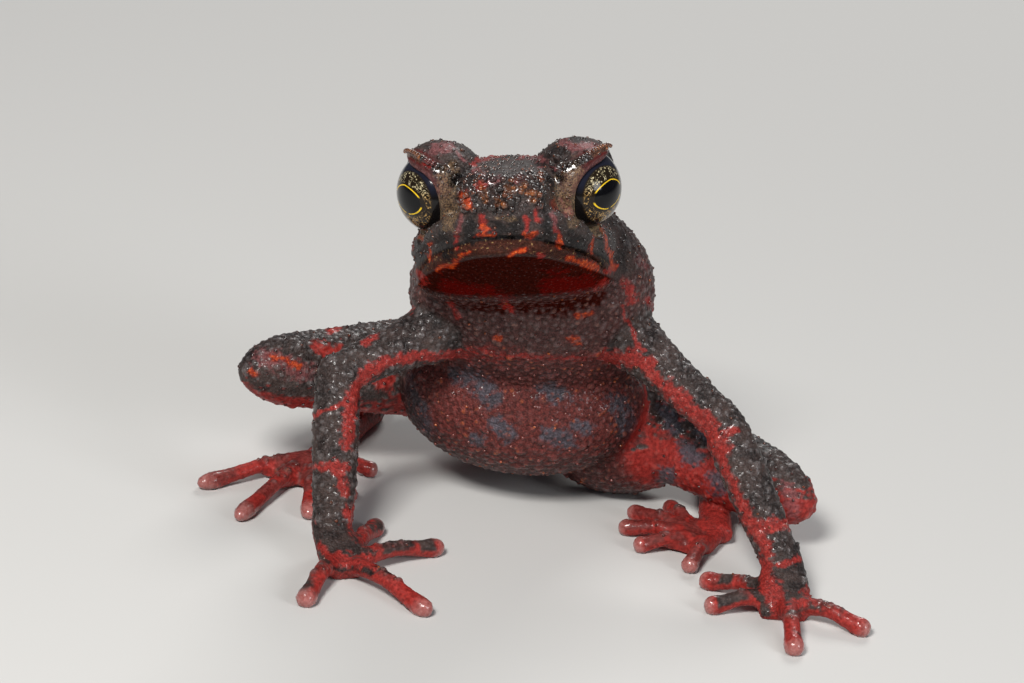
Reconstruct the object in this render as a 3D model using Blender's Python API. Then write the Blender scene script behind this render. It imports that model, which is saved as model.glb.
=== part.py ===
"""A life-size bleeding toad, sitting up on stretched forelegs with its head raised.

The flesh is modelled whole: lofted tubes and ellipsoids are fused by a voxel remesh, smoothed and thinned
to a coarse surface. Blades then cut the mouth and nostrils, and part the flesh into head, torso, limb
segments and digits. The toad faces -Y, its left side is at +X, and it stands on small flats at z = 0.
Sizes in the tables are in millimetres, and everything built from them is scaled to metres at the end.
"""

import math

import bmesh
import bpy
import numpy as np
from mathutils import Matrix, Vector

MM = 0.001

# Driving dimensions
EYE_RADIUS = 2.12
EYE_SPREAD = 3.52
EYE_DROP = 0.05
EYE_GAP = 0.18
GAP = 0.3
VOXEL = 0.17
SMOOTH_PASSES = 5
FLESH_TRIANGLES = 11700
HEAD_DETAIL = 0.55
LEAST_RADIUS = 0.05
SHARP_ANGLE = math.radians(48)

# The middle of the model's outline, taken as its origin, and the level that it stands on
ORIGIN = Vector((1.93, 6.97, 0.16))

# How the head is held: tipped up, and rolled so that it stays level over sloping ground
HEAD_CENTRE = Vector((-0.95, 2.85, 20.0))
HEAD_PITCH = math.radians(18)
HEAD_ROLL = math.radians(8)
NECK_CUT = Vector((0.0, 6.65, 16.4))
NECK_NORMAL = Vector((0.0, 0.74, -0.67))

# Each station of a loft is x, y, z, half width, half height up, half height down.
TRUNK = [
    (-0.9, 4.4, 17.8, 4.0, 2.3, 2.9),
    (-0.5, 6.0, 16.4, 4.75, 2.8, 3.4),
    (0.2, 7.6, 14.5, 5.85, 3.5, 4.0),
    (0.7, 8.9, 12.6, 6.4, 4.0, 4.5),
    (0.9, 10.4, 10.3, 6.1, 4.5, 4.4),
    (1.0, 11.9, 8.1, 6.1, 4.6, 4.6),
    (1.1, 13.6, 6.3, 6.0, 4.4, 4.4),
    (1.2, 15.8, 5.0, 5.0, 3.8, 3.4),
    (1.3, 18.0, 3.9, 3.2, 2.8, 2.3),
    (1.3, 19.8, 2.8, 1.5, 1.3, 1.2),
]
BELLY_CENTRE = (0.9, 10.6, 5.8)
BELLY_RADII = (6.6, 4.2, 4.3)
CHEST_CENTRE = (0.5, 7.3, 12.1)
CHEST_RADII = (5.9, 3.1, 2.2)
HAM_CENTRE = (6.2, 11.8, 3.0)
HAM_RADII = (4.0, 2.6, 2.7)

# Lofts of the head in its own frame: the eyes lie on its x axis, and the snout points to -y.
SKULL = [
    (0, -6.05, -0.5, 0.9, 0.7, 0.7),
    (0, -5.75, -0.5, 1.75, 1.15, 1.2),
    (0, -4.8, -0.45, 2.15, 1.4, 1.5),
    (0, -3.0, -0.45, 2.35, 1.6, 1.9),
    (0, -0.6, -0.5, 2.9, 1.85, 2.4),
    (0, 2.0, -0.9, 4.2, 2.45, 2.9),
    (0, 4.4, -1.4, 4.9, 3.0, 3.4),
    (0, 6.4, -1.8, 4.6, 2.9, 3.2),
]
LIPS = [
    (0, -5.75, -1.5, 1.5, 0.6, 0.65),
    (0, -5.3, -1.55, 2.6, 0.9, 0.75),
    (0, -4.0, -1.85, 3.5, 1.1, 0.8),
    (0, -2.0, -2.4, 4.3, 1.4, 0.85),
    (0, 0.4, -2.9, 4.9, 1.7, 0.95),
    (0, 2.8, -3.2, 5.25, 2.0, 1.2),
    (0, 5.0, -3.0, 5.2, 2.3, 1.5),
]
JAW = [
    (0, -5.4, -2.6, 1.6, 0.5, 0.5),
    (0, -4.8, -2.7, 2.6, 0.6, 0.65),
    (0, -3.4, -2.9, 3.4, 0.8, 0.95),
    (0, -1.4, -3.5, 4.2, 1.0, 1.3),
    (0, 1.0, -4.0, 4.85, 1.4, 1.6),
    (0, 3.4, -4.2, 5.15, 2.0, 2.0),
    (0, 5.8, -4.3, 5.0, 2.4, 2.4),
]
LID_CENTRE = (3.5, 0.15, 0.14)
LID_RADII = (2.5, 2.8, 2.38)
EYE_YAW = math.radians(50)
EYE_DIP = math.radians(12)

# The plug that opens the lids, along the eye's sight line, and how far it is turned outwards
LID_OPENING = [
    (0, 0, 0.8, 1.72, 1.55, 1.55),
    (0, 0, 1.2, 1.85, 1.66, 1.66),
    (0, 0, 1.45, 2.9, 2.7, 1.72),
    (0, 0, 4.5, 3.2, 3.1, 1.85),
]
LID_OPENING_TURN = math.radians(7)

# The mouth line, from the middle of the snout to its left corner: x, y, z
MOUTH_LINE = [
    (0.0, -6.1, -2.2),
    (1.6, -5.9, -2.32),
    (2.9, -4.9, -2.72),
    (3.9, -3.2, -3.08),
    (4.8, -0.8, -3.5),
    (5.5, 1.6, -4.15),
]
MOUTH_DEPTH = 0.85
MOUTH_GAPE = 0.17
NOSTRIL = (1.72, -5.35, 0.28)
NOSTRIL_RADII = (0.22, 0.3, 0.17)

# Joints of the limbs: "right" is the toad's own right, at -X.
JOINTS = {
    "right": {
        "shoulder": (-3.6, 7.0, 10.5),
        "elbow": (-8.7, 3.6, 8.7),
        "wrist": (-8.1, -0.1, 1.5),
        "palm": (-7.3, -1.6, 0.75),
        "hip": (-1.9, 15.0, 5.3),
        "knee": (-12.2, 9.0, 6.3),
        "heel": (-7.2, 18.2, 1.0),
        "ankle": (-9.4, 11.4, 0.7),
    },
    "left": {
        "shoulder": (5.4, 7.6, 11.3),
        "elbow": (11.3, 4.5, 7.8),
        "wrist": (15.0, 0.4, 2.0),
        "palm": (15.1, -1.1, 0.8),
        "hip": (4.3, 14.2, 4.9),
        "knee": (14.8, 7.5, 3.0),
        "heel": (11.6, 16.6, 1.0),
        "ankle": (11.7, 6.8, 0.7),
    },
}

# Where each digit leaves the palm or sole, and its tip, on the ground
FINGERS = {
    "right": [
        ((-6.9, -0.6), (-6.0, 3.4)),
        ((-6.2, -1.2), (-2.7, 1.6)),
        ((-6.5, -2.5), (-2.9, -5.8)),
        ((-8.0, -2.5), (-8.9, -6.2)),
    ],
    "left": [
        ((14.2, -0.3), (11.1, 1.0)),
        ((14.2, -1.3), (11.3, -2.0)),
        ((15.3, -2.2), (15.6, -5.9)),
        ((16.3, -1.6), (19.3, -2.8)),
    ],
}
TOES = {
    "right": [
        ((-8.9, 10.7), (-6.6, 10.4)),
        ((-9.4, 10.0), (-7.6, 6.8)),
        ((-9.9, 9.7), (-9.6, 4.2)),
        ((-10.4, 9.8), (-13.0, 3.2)),
        ((-10.7, 10.2), (-15.3, 6.6)),
    ],
    "left": [
        ((10.1, 7.4), (9.3, 9.8)),
        ((9.8, 6.7), (7.3, 8.6)),
        ((9.8, 5.9), (6.8, 6.5)),
        ((10.1, 5.2), (7.6, 4.4)),
        ((11.1, 4.9), (10.3, 2.4)),
    ],
}
FINGER_RADIUS = 0.5
FINGER_TIP_RADIUS = 0.66
FINGER_ARCH = 0.35
TOE_RADIUS = 0.46
TOE_TIP_RADIUS = 0.58
TOE_ARCH = 0.25
DIGIT_HEIGHT = 0.9
TIP_CENTRE_Z = 0.5
SOLE_CENTRE_Z = 0.58

# The webs between the toes: how far along they reach, how deep they are notched, and their two faces
WEB_SHARE = 0.42
WEB_NOTCH = 0.72
WEB_LOW = 0.25
WEB_HIGH = 0.85

# The course of a digit: share of its length, shares of its own and of its tip's radius, share of its arch
DIGIT = [
    (-0.12, 1.15, 0.0, 0.0),
    (0.1, 1.0, 0.0, 0.7),
    (0.4, 0.9, 0.0, 1.0),
    (0.75, 0.95, 0.0, 0.25),
    (0.92, 0.0, 1.0, 0.0),
    (1.03, 0.0, 0.8, 0.0),
    (1.08, 0.0, 0.35, 0.0),
]

# The shape of each limb segment: share of the way, half width and half height
UPPER_ARM = [
    (-0.1, 1.2, 1.2),
    (0.1, 1.6, 1.6),
    (0.4, 1.3, 1.25),
    (0.8, 1.15, 1.1),
    (1.02, 1.05, 1.0),
    (1.14, 0.55, 0.5),
]
FOREARM = [
    (-0.12, 0.6, 0.6),
    (-0.03, 1.05, 1.0),
    (0.25, 1.2, 1.15),
    (0.6, 1.15, 1.05),
    (0.88, 1.05, 0.9),
    (1.05, 1.0, 0.7),
]
PALM = [(-0.5, 0.9, 0.7), (0.3, 1.25, 0.75), (1.0, 1.45, 0.72), (1.6, 1.15, 0.5)]
THIGH = [
    (-0.05, 1.8, 2.2),
    (0.12, 2.2, 2.8),
    (0.4, 2.0, 2.6),
    (0.75, 1.8, 2.15),
    (0.97, 1.7, 1.9),
    (1.1, 1.2, 1.3),
    (1.17, 0.5, 0.5),
]
SHANK = [
    (-0.1, 0.8, 0.8),
    (0.0, 1.4, 1.4),
    (0.3, 1.35, 1.3),
    (0.6, 1.15, 1.05),
    (0.9, 0.95, 0.9),
    (1.05, 0.6, 0.6),
]
TARSUS = [
    (-0.05, 0.5, 0.5),
    (0.05, 0.85, 0.85),
    (0.4, 0.8, 0.75),
    (0.85, 0.9, 0.7),
    (1.05, 0.95, 0.65),
]
SOLE = [(-0.3, 0.6, 0.55), (0.5, 0.62, 0.5), (1.1, 0.55, 0.45)]

# Where the knives cross the limbs, as shares of a segment's or a digit's length
SHOULDER_CUT = 0.36
WRIST_CUT = 0.97
ANKLE_CUT = 0.82
ANKLE_CUT_DROP = -0.4
FINGER_CUT = 0.3
TOE_CUT = 0.5

# The round knives' radii
KNIFE_RADII = {
    "shoulder": 2.3,
    "elbow": 2.4,
    "wrist": 1.9,
    "ankle": 1.3,
    "finger": 1.0,
    "toe": 0.95,
}

# The flat knives: at the neck its size, at the hips its size and middle, and in the folds of knee and
# heel the reach into the fold and past its root, the width, and a lift
NECK_KNIFE = (15.0, 11.0, GAP)
HIP_KNIFE = (GAP, 8.0, 9.0)
HIP_KNIFE_MIDDLE = {"right": (-5.95, 12.6, 4.4), "left": (7.75, 12.6, 4.4)}
KNEE_FOLD = (9.5, 3.0, 6.6, 0.3)
HEEL_FOLD = (10.0, 1.5, 3.2, 0.0)

# Two level knives between the left thigh and the foot that is folded under it: middle and size
FOOT_KNIVES = [
    ((10.8, 7.4, 1.42), (5.7, 5.8, GAP)),
    ((12.1, 11.4, 1.42), (2.9, 2.4, GAP)),
]

# The block whose top face trims the soles and palms flat
FLOOR_BLOCK = (60.0, 60.0, 4.0)

# Colour and roughness of each kind of node
DARK_SKIN = ((0.035, 0.026, 0.026), 0.38)
BELLY_SKIN = ((0.14, 0.026, 0.022), 0.36)
LEG_SKIN = ((0.2, 0.026, 0.02), 0.34)
DIGIT_SKIN = ((0.3, 0.05, 0.045), 0.3)
EYE_SURFACE = ((0.016, 0.012, 0.006), 0.08)


def clear_scene():
    for obj in list(bpy.data.objects):
        bpy.data.objects.remove(obj, do_unlink=True)


def make_object(name, bm):
    mesh = bpy.data.meshes.new(name)
    bm.to_mesh(mesh)
    bm.free()
    obj = bpy.data.objects.new(name, mesh)
    bpy.context.scene.collection.objects.link(obj)
    return obj


def append(bm, part):
    """Moves the faces of part into bm."""
    mesh = bpy.data.meshes.new("part")
    part.to_mesh(mesh)
    part.free()
    bm.from_mesh(mesh)
    bpy.data.meshes.remove(mesh)


def spline(rows, steps):
    """Catmull-Rom curve through the rows, with this many steps between neighbours."""
    rows = [np.array(row, float) for row in rows]
    rows = [2 * rows[0] - rows[1], *rows, 2 * rows[-1] - rows[-2]]
    found = []
    for a, b, c, d in zip(rows, rows[1:], rows[2:], rows[3:]):
        for k in range(steps):
            t = k / steps
            bend = 2 * b + (c - a) * t + (2 * a - 5 * b + 4 * c - d) * t**2
            found.append((bend + (3 * b - a - 3 * c + d) * t**3) / 2)
    found.append(rows[-2])
    return found


def bridge(bm, rings):
    """Skins a row of vertex rings, and closes both ends."""
    for first, second in zip(rings, rings[1:]):
        for k in range(len(first)):
            n = (k + 1) % len(first)
            bm.faces.new((first[k], first[n], second[n], second[k]))
    bm.faces.new(rings[0][::-1])
    bm.faces.new(rings[-1])


def loft(bm, stations, up, steps=4, sides=20, power=2.0):
    """Adds a closed tube through the stations, whose cross-sections are superellipses."""
    rows = spline(stations, steps)
    rings = []
    for i, row in enumerate(rows):
        before, after = rows[max(i - 1, 0)], rows[min(i + 1, len(rows) - 1)]
        along = Vector(after[:3] - before[:3]).normalized()
        side = along.cross(up).normalized()
        rise = side.cross(along)
        width, high, low = np.maximum(row[3:6], LEAST_RADIUS)
        ring = []
        for k in range(sides):
            c, s = math.cos(2 * math.pi * k / sides), math.sin(2 * math.pi * k / sides)
            out = math.copysign(abs(c) ** (2 / power), c) * width
            lift = math.copysign(abs(s) ** (2 / power), s) * (high if s > 0 else low)
            ring.append(bm.verts.new(Vector(row[:3]) + side * out + rise * lift))
        rings.append(ring)
    bridge(bm, rings)


def ellipsoid(bm, centre, radii, turn=None, level=4):
    matrix = Matrix.Translation(centre) @ (turn or Matrix.Identity(4))
    matrix = matrix @ Matrix.Diagonal((*radii, 1.0))
    bmesh.ops.create_icosphere(bm, subdivisions=level, radius=1.0, matrix=matrix)


def head_frame():
    """The head's own frame: x to its left, -y forward and z up, with the eyes on the x axis."""
    turn = Matrix.Rotation(-HEAD_ROLL, 4, "Y") @ Matrix.Rotation(-HEAD_PITCH, 4, "X")
    return Matrix.Translation(HEAD_CENTRE) @ turn


def eye_frame(side):
    """An eye's frame: its sight line points to +z."""
    out = Matrix.Rotation(side * EYE_YAW, 4, "Z") @ Matrix.Rotation(math.pi / 2 + EYE_DIP, 4, "X")
    return head_frame() @ Matrix.Translation((side * EYE_SPREAD, 0, -EYE_DROP)) @ out


def between(a, b, t, lift=0.0):
    """The point a share t of the way from a to b, raised by lift."""
    return Vector(a).lerp(Vector(b), t) + Vector((0, 0, lift))


def segment(bm, a, b, shape, up=Vector((0, 0.3, 1))):
    """One segment of a limb, between two of its joints."""
    stations = [(*between(a, b, t), w, h, h) for t, w, h in shape]
    loft(bm, stations, up, sides=18)


def digit(bm, base, tip, radius, tip_radius, arch):
    """A finger or toe that arches over its knuckles down to a swollen tip on the ground."""
    start, end = (*base, radius + 0.2), (*tip, TIP_CENTRE_Z)
    stations = []
    for t, own, swollen, rise in DIGIT:
        r = radius * own + tip_radius * swollen
        stations.append((*between(start, end, t, arch * rise), r, r, r * DIGIT_HEIGHT))
    loft(bm, stations, Vector((0, 0, 1)), steps=3, sides=12)


def web(bm, toe_a, toe_b):
    """A thin flap of skin that joins the roots of two neighbouring toes."""
    (base_a, tip_a), (base_b, tip_b) = [[Vector(p) for p in toe] for toe in (toe_a, toe_b)]
    a, b = base_a.lerp(tip_a, WEB_SHARE), base_b.lerp(tip_b, WEB_SHARE)
    notch = ((base_a + base_b) / 2).lerp((a + b) / 2, WEB_NOTCH)
    outline = [base_a, a, notch, b, base_b]
    below = [bm.verts.new((*p, WEB_LOW)) for p in outline]
    above = [bm.verts.new((*p, WEB_HIGH)) for p in outline]
    faces = [bm.faces.new(below), bm.faces.new(above)]
    for k in range(len(outline)):
        n = (k + 1) % len(outline)
        faces.append(bm.faces.new((below[k], below[n], above[n], above[k])))
    bmesh.ops.recalc_face_normals(bm, faces=faces)


def build_head(bm):
    """The skull, the upper lip, the lower jaw and the lids, lofted along the head's own axis."""
    part = bmesh.new()
    up = Vector((0, 0, 1))
    loft(part, SKULL, up, power=2.5)
    loft(part, LIPS, up, power=2.3)
    loft(part, JAW, up, power=2.2)
    x, y, z = LID_CENTRE
    for side in (-1, 1):
        ellipsoid(part, (side * x, y, z), LID_RADII)
    part.transform(head_frame())
    append(bm, part)


def build_limbs(bm):
    for side, joints in JOINTS.items():
        segment(bm, joints["shoulder"], joints["elbow"], UPPER_ARM)
        segment(bm, joints["elbow"], joints["wrist"], FOREARM, Vector((0, -1, 0.2)))
        segment(bm, joints["wrist"], joints["palm"], PALM)
        segment(bm, joints["hip"], joints["knee"], THIGH)
        segment(bm, joints["knee"], joints["heel"], SHANK)
        segment(bm, joints["heel"], joints["ankle"], TARSUS)
        for base, tip in FINGERS[side]:
            digit(bm, base, tip, FINGER_RADIUS, FINGER_TIP_RADIUS, FINGER_ARCH)
        for base, tip in TOES[side]:
            segment(bm, joints["ankle"], (*base, SOLE_CENTRE_Z), SOLE)
            digit(bm, base, tip, TOE_RADIUS, TOE_TIP_RADIUS, TOE_ARCH)
        for toe_a, toe_b in zip(TOES[side], TOES[side][1:]):
            web(bm, toe_a, toe_b)


def apply_modifiers(obj):
    graph = bpy.context.evaluated_depsgraph_get()
    mesh = bpy.data.meshes.new_from_object(obj.evaluated_get(graph))
    obj.modifiers.clear()
    obj.data = mesh


def build_flesh():
    """The whole toad as one closed surface."""
    bm = bmesh.new()
    loft(bm, TRUNK, Vector((0, 1, 0.5)), steps=5, sides=32, power=2.15)
    lean = Matrix.Rotation(math.radians(-20), 4, "X")
    ellipsoid(bm, BELLY_CENTRE, BELLY_RADII, lean)
    ellipsoid(bm, CHEST_CENTRE, CHEST_RADII, lean)
    ellipsoid(bm, HAM_CENTRE, HAM_RADII)
    build_head(bm)
    build_limbs(bm)
    flesh = make_object("flesh", bm)
    remesh = flesh.modifiers.new("fuse", "REMESH")
    remesh.mode = "VOXEL"
    remesh.voxel_size = VOXEL
    smooth = flesh.modifiers.new("soften", "SMOOTH")
    smooth.factor = 0.5
    smooth.iterations = SMOOTH_PASSES
    apply_modifiers(flesh)
    return flesh


def thin(flesh):
    """Thins the surface to its share of triangles, and keeps the head finer than the rest."""
    group = flesh.vertex_groups.new(name="coarse")
    local = head_frame().inverted()
    points = [local @ v.co for v in flesh.data.vertices]
    head = [i for i, p in enumerate(points) if p.y < 4.5 and p.z > -5.5 and abs(p.x) < 6.5]
    body = sorted(set(range(len(points))) - set(head))
    group.add(head, 1 - HEAD_DETAIL, "REPLACE")
    group.add(body, 1.0, "REPLACE")
    modifier = flesh.modifiers.new("thin", "DECIMATE")
    modifier.ratio = FLESH_TRIANGLES / (2 * len(flesh.data.polygons))
    modifier.vertex_group = group.name
    modifier.vertex_group_factor = 1.0
    apply_modifiers(flesh)


def box(bm, size, matrix):
    """A box of this size, centred on the matrix's origin."""
    bmesh.ops.create_cube(bm, size=1.0, matrix=matrix @ Matrix.Diagonal((*size, 1.0)))


def facing(point, normal, across=Vector((0, 0, 1))):
    """A frame at the point, whose z axis is the normal and whose y axis leans towards across."""
    z = Vector(normal).normalized()
    x = Vector(across).cross(z).normalized()
    rows = Matrix((x, z.cross(x), z)).transposed().to_4x4()
    return Matrix.Translation(point) @ rows


def disc(cutters, point, normal, radius, across=Vector((0, 0, 1))):
    """A thin round knife, as thick as the gap between nodes."""
    bm = bmesh.new()
    frame = facing(point, normal, across)
    bmesh.ops.create_cone(
        bm, cap_ends=True, segments=24, radius1=radius, radius2=radius, depth=GAP, matrix=frame
    )
    cutters.append(make_object("knife", bm))


def fold_knife(cutters, root, end_a, end_b, size):
    """A flat knife in the fold between two segments that leave the same root."""
    length, before, width, shift = size
    a, b = [(Vector(end) - Vector(root)).normalized() for end in (end_a, end_b)]
    along, normal = (a + b).normalized(), (a - b).normalized()
    bm = bmesh.new()
    middle = Vector(root) + along * (length - before) / 2 + Vector((0, 0, shift))
    box(bm, (width, length + before, GAP), facing(middle, normal, along))
    cutters.append(make_object("knife", bm))


def mouth_blade(cutters):
    """A thin sheet that follows the mouth line and cuts the lips apart."""
    half = spline(MOUTH_LINE, 6)
    line = [Vector((-p[0], p[1], p[2])) for p in half[:0:-1]] + [Vector(p) for p in half]
    bm = bmesh.new()
    rings = []
    for i, p in enumerate(line):
        along = line[min(i + 1, len(line) - 1)] - line[max(i - 1, 0)]
        inward = Vector((0, 0, 1)).cross(along).normalized()
        outer, inner = p - inward * MOUTH_DEPTH, p + inward * MOUTH_DEPTH
        lift = Vector((0, 0, MOUTH_GAPE / 2))
        ring = [outer + lift, inner + lift * 0.6, inner - lift * 0.6, outer - lift]
        rings.append([bm.verts.new(q) for q in ring])
    bridge(bm, rings)
    bmesh.ops.recalc_face_normals(bm, faces=bm.faces)
    bm.transform(head_frame())
    cutters.append(make_object("blade", bm))


def lid_opening(cutters, side, sides):
    """A flaring plug that opens the lids, turned a little outwards from the sight line."""
    bm = bmesh.new()
    loft(bm, LID_OPENING, Vector((0, 1, 0)), 1, sides)
    bmesh.ops.recalc_face_normals(bm, faces=bm.faces)
    bm.transform(eye_frame(side) @ Matrix.Rotation(side * LID_OPENING_TURN, 4, "Y"))
    cutters.append(make_object("opening", bm))


def head_cutters(cutters):
    """The neck knife, the mouth, the nostrils, and the eyes' beds and openings."""
    neck = bmesh.new()
    frame = head_frame()
    box(neck, NECK_KNIFE, facing(NECK_CUT, NECK_NORMAL))
    cutters.append(make_object("knife", neck))
    mouth_blade(cutters)
    for side in (-1, 1):
        x, y, z = NOSTRIL
        bm = bmesh.new()
        ellipsoid(bm, (side * x, y, z), NOSTRIL_RADII, level=2)
        bm.transform(frame)
        cutters.append(make_object("nostril", bm))
        bm = bmesh.new()
        ellipsoid(bm, (0, 0, 0), [EYE_RADIUS + EYE_GAP] * 3, level=3)
        bm.transform(eye_frame(side))
        cutters.append(make_object("socket", bm))
        lid_opening(cutters, side, 32)


def limb_cutters(cutters):
    """The knives between the segments of the limbs, and the block that trims the soles."""
    for side, joints in JOINTS.items():
        shoulder, elbow, wrist = [joints[k] for k in ("shoulder", "elbow", "wrist")]
        hip, knee, heel, ankle = [joints[k] for k in ("hip", "knee", "heel", "ankle")]
        upper, fore = Vector(elbow) - Vector(shoulder), Vector(wrist) - Vector(elbow)
        disc(cutters, between(shoulder, elbow, SHOULDER_CUT), upper, KNIFE_RADII["shoulder"])
        disc(cutters, elbow, upper.normalized() + fore.normalized(), KNIFE_RADII["elbow"])
        wrist_cut = between(elbow, wrist, WRIST_CUT)
        disc(cutters, wrist_cut, fore, KNIFE_RADII["wrist"], Vector((1, 0, 0)))
        bm = bmesh.new()
        box(bm, HIP_KNIFE, Matrix.Translation(HIP_KNIFE_MIDDLE[side]))
        cutters.append(make_object("knife", bm))
        fold_knife(cutters, knee, hip, heel, KNEE_FOLD)
        fold_knife(cutters, heel, knee, ankle, HEEL_FOLD)
        ankle_cut = between(heel, ankle, ANKLE_CUT, ANKLE_CUT_DROP)
        disc(cutters, ankle_cut, Vector(ankle) - Vector(heel), KNIFE_RADII["ankle"])
        for kind, digits, share in (("finger", FINGERS, FINGER_CUT), ("toe", TOES, TOE_CUT)):
            for base, tip in digits[side]:
                root = between((*base, SOLE_CENTRE_Z), (*tip, SOLE_CENTRE_Z), share)
                disc(cutters, root, (*(Vector(tip) - Vector(base)), 0), KNIFE_RADII[kind])
    for middle, size in FOOT_KNIVES:
        bm = bmesh.new()
        box(bm, size, Matrix.Translation(middle))
        cutters.append(make_object("knife", bm))
    floor = bmesh.new()
    box(floor, FLOOR_BLOCK, Matrix.Translation((0, 0, ORIGIN.z - FLOOR_BLOCK[2] / 2)))
    cutters.append(make_object("floor", floor))


def anchors():
    """A point in the middle of each node of flesh, by name."""
    found = {"head": head_frame() @ Vector((0, 0.5, -1.5)), "torso": Vector(TRUNK[5][:3])}
    for side, joints in JOINTS.items():
        found[f"upper_arm_{side}"] = between(joints["shoulder"], joints["elbow"], 0.65)
        found[f"forearm_{side}"] = between(joints["elbow"], joints["wrist"], 0.5)
        found[f"hand_{side}"] = Vector(joints["palm"])
        found[f"thigh_{side}"] = between(joints["hip"], joints["knee"], 0.72)
        found[f"shank_{side}"] = between(joints["knee"], joints["heel"], 0.5)
        found[f"tarsus_{side}"] = between(joints["heel"], joints["ankle"], 0.55)
        found[f"foot_{side}"] = between(joints["ankle"], (*TOES[side][2][0], SOLE_CENTRE_Z), 0.5)
        for kind, digits in (("finger", FINGERS), ("toe", TOES)):
            for number, (base, tip) in enumerate(digits[side], 1):
                root, end = (*base, SOLE_CENTRE_Z), (*tip, TIP_CENTRE_Z)
                found[f"{kind}_{number}_{side}"] = between(root, end, 0.65)
    return found


def loose_parts(mesh):
    """Each connected surface of the mesh, as a bmesh, with the middle of its points."""
    whole = bmesh.new()
    whole.from_mesh(mesh)
    left = set(whole.verts)
    parts = []
    while left:
        stack, seen = [left.pop()], []
        while stack:
            vert = stack.pop()
            seen.append(vert)
            for edge in vert.link_edges:
                other = edge.other_vert(vert)
                if other in left:
                    left.discard(other)
                    stack.append(other)
        parts.append({v.index for v in seen})
    found = []
    for keep in parts:
        piece = whole.copy()
        piece.verts.ensure_lookup_table()
        spare = [v for v in piece.verts if v.index not in keep]
        bmesh.ops.delete(piece, geom=spare, context="VERTS")
        middle = sum((v.co for v in piece.verts), Vector()) / len(piece.verts)
        found.append((piece, middle))
    whole.free()
    return found


def part_flesh(flesh):
    """Cuts the flesh along every knife, and names each part by the anchor that it lies round."""
    cutters = []
    head_cutters(cutters)
    limb_cutters(cutters)
    knives = bpy.data.collections.new("knives")
    for obj in cutters:
        bpy.context.scene.collection.objects.unlink(obj)
        knives.objects.link(obj)
    bpy.context.scene.collection.children.link(knives)
    cut = flesh.modifiers.new("cut", "BOOLEAN")
    cut.operation = "DIFFERENCE"
    cut.operand_type = "COLLECTION"
    cut.collection = knives
    cut.solver = "EXACT"
    apply_modifiers(flesh)
    for obj in cutters:
        bpy.data.objects.remove(obj, do_unlink=True)
    bpy.data.collections.remove(knives)
    parts = loose_parts(flesh.data)
    bpy.data.objects.remove(flesh, do_unlink=True)
    for name, anchor in anchors().items():
        piece = min(parts, key=lambda part: (part[1] - anchor).length)
        parts.remove(piece)
        place(name, piece[0], piece[1], surface_of(name))


def surface_of(name):
    """The colour and roughness of a node, by its name."""
    if name == "torso":
        return BELLY_SKIN
    if name.startswith(("finger", "toe")):
        return DIGIT_SKIN
    if name.startswith(("thigh", "shank", "tarsus", "foot")):
        return LEG_SKIN
    return DARK_SKIN


def place(name, bm, middle, surface):
    """Makes a node from a bmesh in millimetres, with its own origin at the middle, and its material."""
    bm.transform(Matrix.Scale(MM, 4) @ Matrix.Translation(-middle))
    obj = make_object(name, bm)
    obj.location = (middle - ORIGIN) * MM
    obj.data.shade_smooth()
    obj.data.set_sharp_from_angle(angle=SHARP_ANGLE)
    material = bpy.data.materials.new(name)
    material.use_nodes = True
    shader = material.node_tree.nodes["Principled BSDF"]
    colour, roughness = surface
    shader.inputs["Base Color"].default_value = (*colour, 1.0)
    shader.inputs["Roughness"].default_value = roughness
    shader.inputs["Metallic"].default_value = 0.0
    obj.data.materials.append(material)


def build_eyes():
    for name, side in (("eye_right", -1), ("eye_left", 1)):
        bm = bmesh.new()
        bmesh.ops.create_uvsphere(bm, u_segments=24, v_segments=14, radius=EYE_RADIUS)
        frame = eye_frame(side)
        bm.transform(frame)
        place(name, bm, frame.translation, EYE_SURFACE)


def main():
    clear_scene()
    flesh = build_flesh()
    thin(flesh)
    part_flesh(flesh)
    build_eyes()


main()
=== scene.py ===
"""Looks of the life-size bleeding toad: one skin over every node of flesh, and two eyes.

The sizes and forms repeat those of the solids, in millimetres, at a finer grain. The skin is fused,
cut at the mouth, nostrils and eyes, and covered with warts, and its markings are painted by rules.
"""

import math

import bmesh
import bpy
import numpy as np
from mathutils import Matrix, Vector
from mathutils.bvhtree import BVHTree
from mathutils.kdtree import KDTree


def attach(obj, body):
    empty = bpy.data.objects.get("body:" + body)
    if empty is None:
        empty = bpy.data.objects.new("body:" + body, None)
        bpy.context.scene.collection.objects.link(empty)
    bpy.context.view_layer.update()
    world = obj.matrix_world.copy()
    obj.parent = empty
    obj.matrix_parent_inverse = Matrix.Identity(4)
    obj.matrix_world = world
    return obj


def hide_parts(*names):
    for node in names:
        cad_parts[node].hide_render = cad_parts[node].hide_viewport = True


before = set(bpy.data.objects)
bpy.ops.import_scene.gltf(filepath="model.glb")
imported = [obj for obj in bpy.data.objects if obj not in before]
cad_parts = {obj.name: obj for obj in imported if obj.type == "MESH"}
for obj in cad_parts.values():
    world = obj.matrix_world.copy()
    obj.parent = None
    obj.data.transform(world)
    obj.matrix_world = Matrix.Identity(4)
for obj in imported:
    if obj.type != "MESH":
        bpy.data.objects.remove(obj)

MM = 0.001

# Driving dimensions
EYE_RADIUS = 2.12
EYE_SPREAD = 3.52
EYE_DROP = 0.05
LEAST_RADIUS = 0.05

# The middle of the model's outline, taken as its origin, and the level that it stands on
ORIGIN = Vector((1.93, 6.97, 0.16))

# How the head is held: tipped up, and rolled so that it stays level over sloping ground
HEAD_CENTRE = Vector((-0.95, 2.85, 20.0))
HEAD_PITCH = math.radians(18)
HEAD_ROLL = math.radians(8)

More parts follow.
